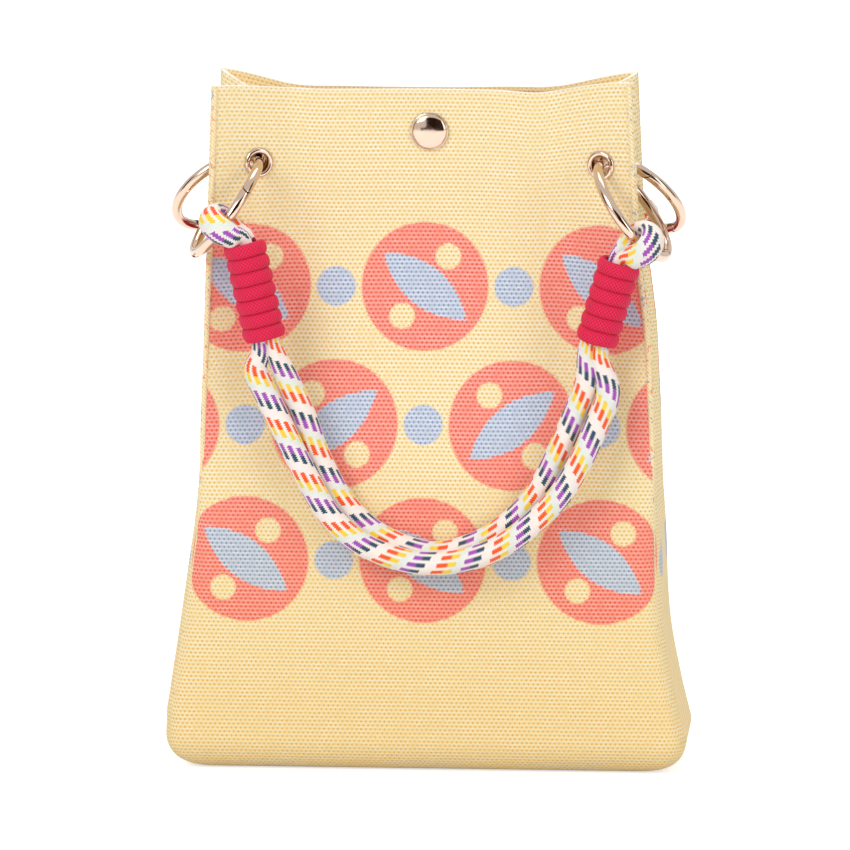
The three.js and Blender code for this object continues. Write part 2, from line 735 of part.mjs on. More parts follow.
function ropeGeometry(list, front) {
  const depth = new THREE.Vector3(0, front, 0);
  let previous = null;
  const rings = list.map(({ at, squeeze, narrow }, k) => {
    const before = list[Math.max(0, k - 1)].at;
    const after = list[Math.min(list.length - 1, k + 1)].at;
    const tangent = after.clone().sub(before).normalize();
    const wanted = narrow ? narrow.clone() : new THREE.Vector3().crossVectors(depth, tangent);
    const across = wanted.addScaledVector(tangent, -wanted.dot(tangent)).normalize();
    if (previous && across.dot(previous) < 0) across.negate();
    previous = across;
    const up = new THREE.Vector3().crossVectors(tangent, across);
    const halfWidth = mix(ropeRadius, squeezedHalfWidth, squeeze);
    const halfDepth = mix(ropeRadius, squeezedHalfDepth, squeeze);
    return ovalRing(at, across, up, halfWidth, halfDepth, ropeSides);
  });
  return tubeGeometry(rings);
}

// A whipping is one cord wound round both strands, its two ends straight for one cord width
function whippingPath(place) {
  const side = new THREE.Vector3().crossVectors(place.down, new THREE.Vector3(0, 1, 0)).normalize();
  const fore = new THREE.Vector3().crossVectors(side, place.down).normalize();
  const radius = whippingCore + cordHalfThickness;
  const steps = place.turns * loopSteps;
  const start = (place.length - (place.turns - 1) * turnPitch) / 2;
  const path = [];
  for (let k = 0; k <= steps - loopSteps / 2; k += 1) {
    const angle = (2 * Math.PI * k) / loopSteps;
    const radial = side.clone().multiplyScalar(Math.cos(angle)).addScaledVector(fore, Math.sin(angle));
    path.push({
      at: place.top.clone()
        .addScaledVector(place.down, start + (turnPitch * k) / loopSteps - turnPitch / 4)
        .addScaledVector(radial, radius),
      radial,
    });
  }
  const straight = (end, next) => {
    const direction = end.at.clone().sub(next.at).normalize();
    return { at: end.at.clone().addScaledVector(direction, 2 * cordHalfWidth), radial: end.radial };
  };
  path.unshift(straight(path[0], path[1]));
  path.push(straight(path[path.length - 1], path[path.length - 2]));
  return path;
}

function whippingGeometry(path, down) {
  const rings = path.map(({ at, radial }, k) => {
    const before = path[Math.max(0, k - 1)].at;
    const after = path[Math.min(path.length - 1, k + 1)].at;
    const tangent = after.clone().sub(before).normalize();
    const across = new THREE.Vector3().crossVectors(tangent, radial).normalize();
    if (across.dot(down) < 0) across.negate();
    return ovalRing(at, across, radial, cordHalfWidth, cordHalfThickness, cordSides);
  });
  return tubeGeometry(rings);
}

// The least gap between turns of a winding, measured on its centreline points
function leastGap(path, down) {
  const cordWidth = 2 * cordHalfWidth * Math.cos(Math.PI / cordSides);
  let least = Infinity;
  path.forEach((p, i) => path.slice(i + loopSteps / 2).forEach((q) => {
    const apart = q.at.clone().sub(p.at);
    const alongAxis = Math.abs(apart.dot(down));
    const sideways = apart.addScaledVector(down, -apart.dot(down)).length();
    if (sideways < cordHalfThickness) least = Math.min(least, alongAxis - cordWidth);
  }));
  return least;
}

function addHandle(name, front, shift) {
  const prefix = front < 0 ? 'front' : 'rear';
  const gripOn = (hand) => [hand, gripAt(`${prefix}_${hand}`, hand, front)];
  const grips = Object.fromEntries(['left', 'right'].map(gripOn));
  addMesh(bag, name, ropeGeometry(ropeStations(grips, front, shift), front), ropeCream);
  for (const hand of ['left', 'right']) {
    const path = whippingPath(grips[hand]);
    console.log(`${name} ${hand} whipping: least gap ${leastGap(path, grips[hand].down).toFixed(2)} mm`);
    addMesh(bag, `${name}_whipping_${hand}`, whippingGeometry(path, grips[hand].down), crimson);
  }
}

addBody();
addBase();
addEyelets();
addRings();
addSnap();
addHandle('front_handle', -1, frontShift);
addHandle('rear_handle', 1, rearShift);

export default bag;
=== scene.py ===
# A knitted handbag on a plain white floor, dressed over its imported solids. Metres, +Z up, front to -Y.
import math

import bpy
from mathutils import Matrix, Vector, noise


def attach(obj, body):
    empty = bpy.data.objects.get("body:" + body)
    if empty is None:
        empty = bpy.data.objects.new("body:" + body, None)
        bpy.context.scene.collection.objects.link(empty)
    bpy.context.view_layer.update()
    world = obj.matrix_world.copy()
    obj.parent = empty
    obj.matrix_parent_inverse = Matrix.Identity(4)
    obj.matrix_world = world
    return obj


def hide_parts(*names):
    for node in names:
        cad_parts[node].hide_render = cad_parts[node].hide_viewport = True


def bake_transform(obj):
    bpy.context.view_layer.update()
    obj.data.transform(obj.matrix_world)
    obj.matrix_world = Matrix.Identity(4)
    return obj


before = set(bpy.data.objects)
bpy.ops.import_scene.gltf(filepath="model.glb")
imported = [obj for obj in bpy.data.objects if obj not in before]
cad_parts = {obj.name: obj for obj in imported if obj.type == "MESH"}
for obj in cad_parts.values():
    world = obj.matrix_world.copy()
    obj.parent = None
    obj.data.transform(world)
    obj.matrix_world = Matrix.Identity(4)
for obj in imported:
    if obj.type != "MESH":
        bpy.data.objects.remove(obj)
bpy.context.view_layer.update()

# Camera, floor and light.
# The camera looks at the middle of the bag from a little above and a little to its right. The floor
# and the surroundings are plain white, and three broad soft lamps stand round the bag.
view_width = 0.3555
view_distance = 3.0
look_at = Vector((-0.0012, 0.0, 0.1436))
azimuth = math.radians(5)
elevation = math.radians(11)
camera_roll = math.radians(-0.4)
camera_side = Vector((
    math.sin(azimuth) * math.cos(elevation),
    -math.cos(azimuth) * math.cos(elevation),
    math.sin(elevation),
))
bpy.ops.object.camera_add(location=look_at + camera_side * view_distance)
camera = bpy.context.object
aim = (-camera_side).to_track_quat("-Z", "Y").to_matrix().to_4x4()
camera.rotation_euler = (aim @ Matrix.Rotation(camera_roll, 4, "Z")).to_euler()
camera.data.lens = camera.data.sensor_width * view_distance / view_width
bpy.context.scene.camera = camera
bpy.context.scene.view_settings.view_transform = "Standard"


def add_node(tree, kind, inputs=(), **settings):
    """One node with its settings; inputs are (socket, value) pairs, a node or socket value is linked."""
    made = tree.nodes.new(kind)
    for name, value in settings.items():
        setattr(made, name, value)
    for socket, value in inputs:
        if isinstance(value, bpy.types.Node):
            value = value.outputs[0]
        if isinstance(value, bpy.types.NodeSocket):
            tree.links.new(value, made.inputs[socket])
        else:
            made.inputs[socket].default_value = value
    return made


def calc(operation, *values):
    """A reckoning of values, of which the first is a node or a socket, in that one's tree."""
    return add_node(values[0].id_data, "ShaderNodeMath", enumerate(values), operation=operation)


def remap(value, low, high, to_low=0.0, to_high=1.0, **settings):
    """A value taken from the range low to high over to the range to_low to to_high."""
    return add_node(value.id_data, "ShaderNodeMapRange", [
        ("Value", value), ("From Min", low), ("From Max", high), ("To Min", to_low), ("To Max", to_high),
    ], **settings)


def show(surface):
    """Make a surface the one that its material shows."""
    add_node(surface.id_data, "ShaderNodeOutputMaterial", [("Surface", surface)])


def new_material(name):
    """A material with an empty node tree, and that tree."""
    material = bpy.data.materials.new(name)
    material.use_nodes = True
    material.node_tree.nodes.clear()
    return material, material.node_tree


def srgb(code):
    """A hex colour as linear red, green, blue and alpha."""
    values = [int(code[i:i + 2], 16) / 255 for i in (0, 2, 4)]
    return (*[v / 12.92 if v <= 0.04045 else ((v + 0.055) / 1.055) ** 2.4 for v in values], 1.0)


def seen_directly(tree):
    """1 for rays from the camera, off a mirror or through glass, and 0 for diffuse light."""
    path = add_node(tree, "ShaderNodeLightPath")
    glossy = calc("MAXIMUM", path.outputs["Is Camera Ray"], path.outputs["Is Glossy Ray"])
    return calc("MAXIMUM", glossy, path.outputs["Is Transmission Ray"])


def primitive(add, **settings):
    """Add a primitive with nothing else selected."""
    bpy.ops.object.select_all(action="DESELECT")
    add(**settings)
    return bpy.context.object


world = bpy.data.worlds.new("white_surroundings")
bpy.context.scene.world = world
world.use_nodes = True
world_tree = world.node_tree
world_tree.nodes.clear()
diffuse_level = 0.76
world_level = remap(seen_directly(world_tree), 0.0, 1.0, diffuse_level)
sky = add_node(world_tree, "ShaderNodeBackground", [("Strength", world_level)])
add_node(world_tree, "ShaderNodeOutputWorld", [("Surface", sky)])

floor_size = 12.0
floor = primitive(bpy.ops.mesh.primitive_plane_add, size=floor_size)
floor.name = "studio_floor"
floor_paper, floor_tree = new_material("white_paper_floor")
paper = add_node(floor_tree, "ShaderNodeBsdfDiffuse", [("Color", srgb("E6E6E6"))])
floor_lift = 0.62
glow_level = calc("MULTIPLY", seen_directly(floor_tree), floor_lift)
glow = add_node(floor_tree, "ShaderNodeEmission", [("Strength", glow_level)])
show(add_node(floor_tree, "ShaderNodeAddShader", [(0, paper), (1, glow)]))
floor.data.materials.append(floor_paper)

for lamp_name, lamp_place, lamp_size, lamp_power in [
    ("key_lamp", (-1.1, -1.7, 1.5), 1.1, 20),
    ("fill_lamp", (1.5, -1.6, 0.9), 1.3, 11),
    ("top_lamp", (0.1, 0.7, 2.0), 1.2, 12),
]:
    bpy.ops.object.light_add(type="AREA", location=lamp_place)
    lamp = bpy.context.object
    lamp.name = lamp_name
    lamp.data.size = lamp_size
    lamp.data.energy = lamp_power
    lamp.rotation_euler = (Vector(lamp_place) - look_at).to_track_quat("Z", "Y").to_euler()

# Dark cards that show in reflections alone.
dark_card, card_tree = new_material("dark_studio_card")
show(add_node(card_tree, "ShaderNodeBsdfDiffuse", [("Color", srgb("2A1B12"))]))
for card_name, card_place, card_size in [
    ("dark_card_left", (-1.5, -0.35, 0.35), (0.55, 1.3)),
    ("dark_card_right", (1.5, -0.15, 0.5), (0.5, 1.4)),
    ("dark_card_low", (0.15, -1.5, 0.18), (1.6, 0.14)),
    ("dark_card_front", (0.4, -1.4, 0.66), (1.5, 1.1)),
]:
    card_turn = (Vector(card_place) - look_at).to_track_quat("Z", "Y").to_euler()
    card = primitive(bpy.ops.mesh.primitive_plane_add, size=1, location=card_place, rotation=card_turn)
    card.name = card_name
    card.scale = (*card_size, 1)
    card.data.materials.append(dark_card)
    card.visible_camera = card.visible_diffuse = card.visible_shadow = False


# Rope handles.
# Each is one soft braided cotton rope of 10 mm, laid double as a loop. It goes round both rings of
# its side of the bag, and its two ends meet inside the left whipping.
rope_radius = 0.005
rope_sides = 30
rope_step = 0.0014
ring_radius = 0.0228
bight_radius = 0.0064
bight_thickness = 0.0039
bight_half_width = 0.0059
bight_step = math.radians(25)
bight_wrap = math.radians(198)
squeezed_width = 0.0024
squeezed_depth = 0.0043
strand_offset = 0.00275
rope_end_gap = 0.0012
whipping_drop = 0.011
whipping_margin = 0.0039
spread_margin = 0.0005
neck_squeeze = 0.5
turn_pitch = 0.0059
grip = {
    "left": {"wrap": math.radians(68), "turns": 7, "tilt": math.radians(11.7)},
    "right": {"wrap": math.radians(46), "turns": 6, "tilt": math.radians(-16.6)},
}
outer_strand = [
    (-0.0678, 0.0384, 0.1735), (-0.0625, 0.0405, 0.162), (-0.0545, 0.0428, 0.146), (-0.0455, 0.0444, 0.128),
    (-0.036, 0.0446, 0.1125), (-0.023, 0.0446, 0.1015), (-0.0075, 0.0446, 0.0955), (0.005, 0.0446, 0.094),
    (0.018, 0.0446, 0.0955), (0.032, 0.0446, 0.1005), (0.046, 0.0446, 0.1105), (0.0575, 0.0446, 0.1225),
    (0.066, 0.044, 0.136), (0.073, 0.042, 0.1515), (0.078, 0.0396, 0.166),
]
inner_strand = [
    (0.069, 0.0368, 0.17), (0.064, 0.0362, 0.156), (0.0585, 0.0361, 0.143), (0.052, 0.0361, 0.129),
    (0.044, 0.0361, 0.117), (0.033, 0.0361, 0.107), (0.02, 0.0361, 0.0997), (0.004, 0.0361, 0.0966),
    (-0.0125, 0.0361, 0.1015), (-0.025, 0.0361, 0.11), (-0.035, 0.0361, 0.1225), (-0.043, 0.0361, 0.139),
    (-0.0485, 0.0361, 0.155), (-0.0555, 0.0365, 0.1705),
]
eyelet_height = 0.256
stack_slant = math.radians(25)
stack_reference_x = 0.071
stack_reference_y = 0.010


def mix(a, b, t):
    return a + (b - a) * t


def smooth(value, low, high):
    t = min(max((value - low) / (high - low), 0.0), 1.0)
    return t * t * (3 - 2 * t)


def square_to(vector, axis):
    """The direction of what is left of a vector across an axis."""
    return (vector - axis * vector.dot(axis)).normalized()


def tangent_at(points, k):
    return (points[min(k + 1, len(points) - 1)] - points[max(k - 1, 0)]).normalized()


def stack_line(x):
    """Depth of the plane between a panel and its folded gusset near the mouth."""
    return stack_reference_y + (x - stack_reference_x) * math.tan(stack_slant)


def station_frame(hand, front, eyelet_x, drop, tilt):
    """An eyelet's place and axis, and its ring's plane: radial to the far end, arm towards the outside."""
    side = -1 if hand == "left" else 1
    centre = Vector((side * eyelet_x, front * stack_line(eyelet_x), eyelet_height))
    outward = Vector((-side * math.sin(stack_slant), front * math.cos(stack_slant), 0))
    corner = Vector((side * math.cos(stack_slant), front * math.sin(stack_slant), 0))
    up = Vector((0, 0, 1))
    radial = corner * math.cos(drop) + up * math.sin(drop)
    turned = -corner * math.sin(drop) + up * math.cos(drop)
    arm = outward * math.cos(tilt) + turned * math.sin(tilt)
    return {
        "hand": hand, "front": front, "centre": centre, "outward": outward,
        "radial": radial, "arm": arm, "middle": centre + radial * ring_radius,
    }


front_hang = (math.radians(-53), math.radians(12))
rear_hang = (math.radians(-45), math.radians(-17))
stations = {
    "front_left": station_frame("left", -1, 0.0695, *front_hang),
    "front_right": station_frame("right", -1, 0.0745, *front_hang),
    "rear_left": station_frame("left", 1, 0.071, *rear_hang),
    "rear_right": station_frame("right", 1, 0.071, *rear_hang),
}


def grip_at(station):
    """Where a rope hangs on a ring, and how the whipping below it is placed."""
    hand, front = grip[station["hand"]], station["front"]
    radial, arm = station["radial"], station["arm"]
    wrap = hand["wrap"]
    point = station["middle"] + (radial * math.cos(wrap) + arm * math.sin(wrap)) * ring_radius
    wire = arm * math.cos(wrap) - radial * math.sin(wrap)
    outside = square_to(Vector((0, front, 0)), wire)
    crest = wire.cross(outside)
    if crest.z < 0:
        crest.negate()
    down = Vector((math.sin(hand["tilt"]), 0, -math.cos(hand["tilt"])))
    across = down.cross(Vector((0, front, 0))).normalized()
    if across.x * point.x < 0:
        across.negate()
    return {
        "point": point, "outside": outside, "crest": crest, "down": down, "across": across,
        "top": point - crest * whipping_drop, "length": hand["turns"] * turn_pitch, "turns": hand["turns"],
    }


def rope_stations(left, right, front, depth_shift, height_shift):
    """The rope's route, as (place, squeeze, narrow direction).

    The squeeze is 0 where the rope is round, 1 where a whipping grips it and -1 on a ring.
    """
    spare = (bight_wrap - math.pi) / 2

    def inside(place, drops, outer):
        """A strand at some drops below a whipping's top: beside the other strand below, before it above."""
        foremost = square_to(place["outside"], place["down"])
        found = []
        for drop in drops:
            turned = smooth(1 - drop / place["length"], 0, 1)
            narrow = place["across"].lerp(foremost, turned).normalized() * (1 if outer else -1)
            squeeze = neck_squeeze if drop > place["length"] else 1.0
            found.append((place["top"] + place["down"] * drop + narrow * strand_offset, squeeze, narrow))
        return found

    def strand(points):
        places = [Vector((x, front * (depth + depth_shift), z + height_shift)) for x, depth, z in points]
        return [(place, 0.0, None) for place in places]

    def bight(place):
        """The turn of the rope round its ring."""
        count = round(bight_wrap / bight_step)
        angles = [mix(-spare, math.pi + spare, k / count) for k in range(count + 1)]
        sides = [place["outside"] * math.cos(angle) + place["crest"] * math.sin(angle) for angle in angles]
        return [(place["point"] + narrow * bight_radius, -1.0, narrow) for narrow in sides]

    def spread(place, outer):
        """The strand above the whipping, and halfway from there to its side of the ring."""
        start = inside(place, [-spread_margin], outer)[0]
        start_middle = place["top"] - place["down"] * spread_margin
        end_middle = place["point"] - place["crest"] * (bight_radius * math.sin(spare))
        halfway = start[2].lerp(place["outside"] * (1 if outer else -1), 0.5).normalized()
        at = start_middle.lerp(end_middle, 0.5) + halfway * mix(strand_offset, bight_radius, 0.5)
        return [start, (at, 0.0, halfway)]

    def turn_at(place, outer):
        """Up through a whipping as one strand, round the ring and down again as the other strand."""
        length = place["length"]
        rising = [length + whipping_margin, 0.75 * length, 0.5 * length, 0.25 * length]
        return [
            *inside(place, rising, outer), *spread(place, outer), *bight(place)[::1 if outer else -1],
            *spread(place, not outer)[::-1], *inside(place, rising[::-1], not outer),
        ]

    # The two ends meet in the left whipping's middle, so the way down through it is cut short there.
    length = left["length"]
    start, end = (length + rope_end_gap) / 2, (length - rope_end_gap) / 2
    return [
        *inside(left, [start, 0.75 * length, length + whipping_margin], True), *strand(outer_strand),
        *turn_at(right, True), *strand(inner_strand), *turn_at(left, False)[:-3], *inside(left, [end], True),
    ]


def curve_between(a, b, c, d, t):
    """A point of the smooth curve through four points, t of the way from b to c."""
    square, cube = 2 * a - 5 * b + 4 * c - d, 3 * b - a - 3 * c + d
    return 0.5 * (2 * b + (c - a) * t + square * t ** 2 + cube * t ** 3)


def smoothed(places, step):
    """The points of a smooth curve through places, about step apart: (point, index, share to the next)."""
    found = []
    for k in range(len(places) - 1):
        a, d = places[max(k - 1, 0)], places[min(k + 2, len(places) - 1)]
        b, c = places[k], places[k + 1]
        count = max(1, round((c - b).length / step))
        found += [(curve_between(a, b, c, d, i / count), k, i / count) for i in range(count)]
    return [*found, (places[-1], len(places) - 2, 1.0)]


def tube_piece(name, centres, acrosses, widths, depths, sides):
    """A tube of oval rings, with a UV map of metres along it and turns around it."""
    vertices, faces, travelled = [], [], [0.0]
    for k, centre in enumerate(centres):
        tangent = tangent_at(centres, k)
        across = square_to(acrosses[k], tangent)
        up = tangent.cross(across)
        for i in range(sides):
            angle = 2 * math.pi * i / sides
            vertices.append(centre + across * widths[k] * math.cos(angle) + up * depths[k] * math.sin(angle))
        if k:
            travelled.append(travelled[-1] + (centre - centres[k - 1]).length)
    for k in range(len(centres) - 1):
        for i in range(sides):
            a, b = k * sides + i, k * sides + (i + 1) % sides
            faces.append((a, b, b + sides, a + sides))
    last = (len(centres) - 1) * sides
    faces += [tuple(range(sides))[::-1], tuple(range(last, last + sides))]
    mesh = bpy.data.meshes.new(name)
    mesh.from_pydata(vertices, [], faces)
    uv = mesh.uv_layers.new(name="run")
    for face in mesh.polygons:
        places_round = {vertex % sides for vertex in face.vertices}
        for loop, vertex in zip(face.loop_indices, face.vertices):
            closing = vertex % sides == 0 and sides - 1 in places_round
            uv.data[loop].uv = (travelled[vertex // sides], 1.0 if closing else (vertex % sides) / sides)
    mesh.shade_smooth()
    piece = bpy.data.objects.new(name, mesh)
    bpy.context.scene.collection.objects.link(piece)
    return piece, travelled[-1]


def facing(route, front):
    """The section's narrow direction along a route, kept from turning over between two of its places."""
    places = [at for at, _, _ in route]
    found = []
    for k, (_, _, narrow) in enumerate(route):
        tangent = tangent_at(places, k)
        across = square_to(narrow or Vector((0, front, 0)).cross(tangent), tangent)
        if found and across.dot(found[-1]) < 0:
            across.negate()
        found.append(across)
    return found


def run_on(tree, map_name):
    """The two sockets of a piece's own measures, which its UV map holds."""
    run = add_node(tree, "ShaderNodeSeparateXYZ", [(0, add_node(tree, "ShaderNodeUVMap", uv_map=map_name))])
    return run.outputs["X"], run.outputs["Y"]


def ramp(value, stops, interpolation="LINEAR"):
    """Colours along a value, from stops of (place, hex colour)."""
    made = add_node(value.id_data, "ShaderNodeValToRGB", [("Fac", value)])
    made.color_ramp.interpolation = interpolation
    for place, _ in stops[2:]:
        made.color_ramp.elements.new(place)
    for element, (place, code) in zip(made.color_ramp.elements, stops):
        element.position = place
        element.color = srgb(code)
    return made


def mixed(share, first, second, **settings):
    """The colour that lies share of the way from the first to the second."""
    inputs = [(0, share), (6, first), (7, second)]
    return add_node(share.id_data, "ShaderNodeMix", inputs, data_type="RGBA", **settings).outputs[2]


def braid(lengths, rounds):
    """Height of a braid, whose threads wind round it both ways."""
    crests = [calc("PINGPONG", calc(way, lengths, rounds), 0.5) for way in ("ADD", "SUBTRACT")]
    return calc("ADD", *crests)


def cotton_surface(colour, height, roughness, sheen, strength, distance):
    """A matt surface in a colour, with a relief of some height, strength and distance."""
    relief = add_node(height.id_data, "ShaderNodeBump", [
        ("Height", height), ("Strength", strength), ("Distance", distance),
    ])
    show(add_node(relief.id_data, "ShaderNodeBsdfPrincipled", [
        ("Base Color", colour), ("Roughness", roughness), ("Sheen Weight", sheen), ("Normal", relief),
    ]))


# Braided cotton: matt and soft, cream and pale mint, with pairs of bright dashes that wind round it once
# in 24 mm. Ten columns of dashes go round the rope, each with edges that step from stitch to stitch.
dash_period = 0.024
dash_stops = [
    (0.0, "FF5A14"), (0.19, "FFD83C"), (0.34, "FFFFFF"), (0.49, "A850BC"), (0.65, "2F4A63"), (0.80, "FFFFFF"),
]
dash_gaps = [(0.0, "FFFFFF"), (0.34, "000000"), (0.49, "FFFFFF"), (0.80, "000000")]
dash_edge = (0.31, 0.27)
dash_slope = 0.05
ground_stops = [(0.0, "FFF4EC"), (0.3, "F8F3E8"), (0.42, "EAF1EA"), (0.56, "F8F2EB"), (0.9, "FFF4EC")]
columns_round = 10
column_middle = 0.615
stitch_length = 0.00095
stitch_step = 0.46
fine_columns = 40
braid_shade_range = (0.55, 0.1)
rope_cotton, tree = new_material("braided_cotton_rope")
along, around = run_on(tree, "run")
scaled_round = calc("MULTIPLY", around, float(columns_round))
column = calc("FLOOR", scaled_round)
stitches_along = calc("DIVIDE", along, stitch_length)
jag = calc("PINGPONG", stitches_along, 0.5)
jagged = calc("MULTIPLY_ADD", jag, stitch_step, calc("FRACT", scaled_round))
centred = calc("SUBTRACT", jagged, column_middle)
periods = calc("DIVIDE", along, dash_period)
stepped = calc("MULTIPLY_ADD", column, 1 / columns_round, periods)
phase = calc("FRACT", calc("MULTIPLY_ADD", centred, dash_slope, stepped))
on_dash = remap(calc("ABSOLUTE", centred), *dash_edge)
dash_share = calc("MULTIPLY", ramp(phase, dash_gaps, "CONSTANT"), on_dash)
ground = ramp(calc("FRACT", calc("ADD", around, periods)), ground_stops)
dashed = mixed(dash_share, ground, ramp(phase, dash_stops, "CONSTANT"))
braid_height = braid(stitches_along, calc("MULTIPLY", around, float(fine_columns)))
braid_shade = remap(braid_height, *braid_shade_range, to_high=0.28)
shaded = mixed(braid_shade, dashed, srgb("B4A494"), blend_type="MULTIPLY")
cotton_surface(shaded, braid_height, roughness=0.85, sheen=0.2, strength=0.5, distance=0.0003)

# Whippings.
# Each is one crimson braided cord wound tight round both strands, seven turns on the left and six on
# the right, with the cord's ends tucked in.
whipping_core = 0.00585
cord_half_width = 0.00296
cord_half_thickness = 0.00155
tucked_share = 0.5
tuck_depth = 0.003
turn_lean = 0.0012
start_angle = math.radians(10)
loop_steps = 36
tuck_steps = 17
last_part_turn = 0.47
cord_sides = 14
plait_length = 0.0013
plaits_round = 10
whipping_cord, tree = new_material("crimson_braided_cord")
along, around = run_on(tree, "run")
lengths = calc("DIVIDE", along, plait_length)
plait_height = braid(lengths, calc("MULTIPLY", around, float(plaits_round)))
# Painted shade and highlight: the plait's hollows are a darker crimson and its crests a lighter one.
crimson = ramp(plait_height, [(0.12, "AC0030"), (0.45, "E00045"), (0.95, "FF2058")])
cotton_surface(crimson, plait_height, roughness=0.75, sheen=0.04, strength=0.8, distance=0.0004)


def wind(name, place, front):
    """One whipping round the strands below a grip, its two ends narrowed and tucked under their turns."""
    side = place["down"].cross(Vector((0, 1, 0))).normalized()
    fore = side.cross(place["down"]).normalized() * -front
    radius = whipping_core + cord_half_thickness
    start = cord_half_width - turn_pitch / 4
    centres, radials, shares = [], [], []
    last = round((place["turns"] + last_part_turn) * loop_steps)
    for k in range(last + 1):
        angle = 2 * math.pi * k / loop_steps + start_angle
        radial = side * math.cos(angle) + fore * math.sin(angle)
        wound = min(k, last - k) / tuck_steps
        under = tuck_depth * (1 - smooth(wound, 0, 1))
        pushed = min(max(k, tuck_steps), last - tuck_steps)
        drop = start + (place["length"] - 2 * start) * (pushed - tuck_steps) / (last - 2 * tuck_steps)
        at = place["top"] + place["down"] * (drop - turn_lean * math.cos(angle))
        centres.append(at + radial * (radius - under))
        radials.append(radial)
        shares.append(mix(tucked_share, 1.0, smooth(wound, 0, 1)))
    sizes = [[half * share for share in shares] for half in (cord_half_thickness, cord_half_width)]
    piece, _ = tube_piece(name, centres, radials, *sizes, cord_sides)
    piece.data.materials.append(whipping_cord)
    return piece


for end, front, depth_shift, height_shift in [("front", -1, 0.0, 0.0), ("rear", 1, 0.0006, -0.0055)]:
    handle = f"{end}_handle"
    left, right = [grip_at(stations[f"{end}_{hand}"]) for hand in ("left", "right")]
    route = rope_stations(left, right, front, depth_shift, height_shift)
    acrosses = facing(route, front)
    fine = smoothed([at for at, _, _ in route], rope_step)
    squeezes = [mix(route[k][1], route[k + 1][1], t) for _, k, t in fine]
    centres = [at for at, _, _ in fine]
    turned = [acrosses[k].lerp(acrosses[k + 1], t) for _, k, t in fine]
    widths, depths = [
        [mix(rope_radius, gripped if s > 0 else pressed, abs(s)) for s in squeezes]
        for gripped, pressed in [(squeezed_width, bight_thickness), (squeezed_depth, bight_half_width)]
    ]
    rope, rope_length = tube_piece(f"{handle}_rope", centres, turned, widths, depths, rope_sides)
    rope.data.materials.append(rope_cotton)
    for hand, place in [("left", left), ("right", right)]:
        whipping = wind(f"{handle}_cord_{hand}", place, front)
        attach(whipping, handle)
        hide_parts(f"{handle}_whipping_{hand}")
    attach(rope, handle)
    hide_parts(handle)

# Knitted cotton.
# The whole body is double-knit jacquard in three yarns. One stitch is 1.95 mm wide and 1.68 mm high, in
# staggered rows of small loops, with a painted highlight on each loop's crest and painted shade, a darker
# colour of the same yarn, in the gaps between them.
wale_pitch = 0.00195
course_pitch = 0.00168
loop_rise = 0.7
loop_edge = (0.3, 0.04)
gap_edge_up = (0.36, 0.58)
gap_edge_across = (0.32, 0.1)
yarn_push = 0.22
yarn_edge = (0.58, 0.64)
patchiness_range = (0.3, 0.7)
bottom_shade_range = (0.15, 0.03)
rim_highlight_edge = (0.6, 0.95)
fuzz_share = 0.35


def grain(tree, scale, detail=2.0):
    """Fine unevenness of a surface, in the piece's own place."""
    place = add_node(tree, "ShaderNodeTexCoord").outputs["Object"]
    return add_node(tree, "ShaderNodeTexNoise", [("Vector", place), ("Scale", scale), ("Detail", detail)])


def share_of(tree, name):
    return add_node(tree, "ShaderNodeAttribute", attribute_name=name).outputs["Fac"]


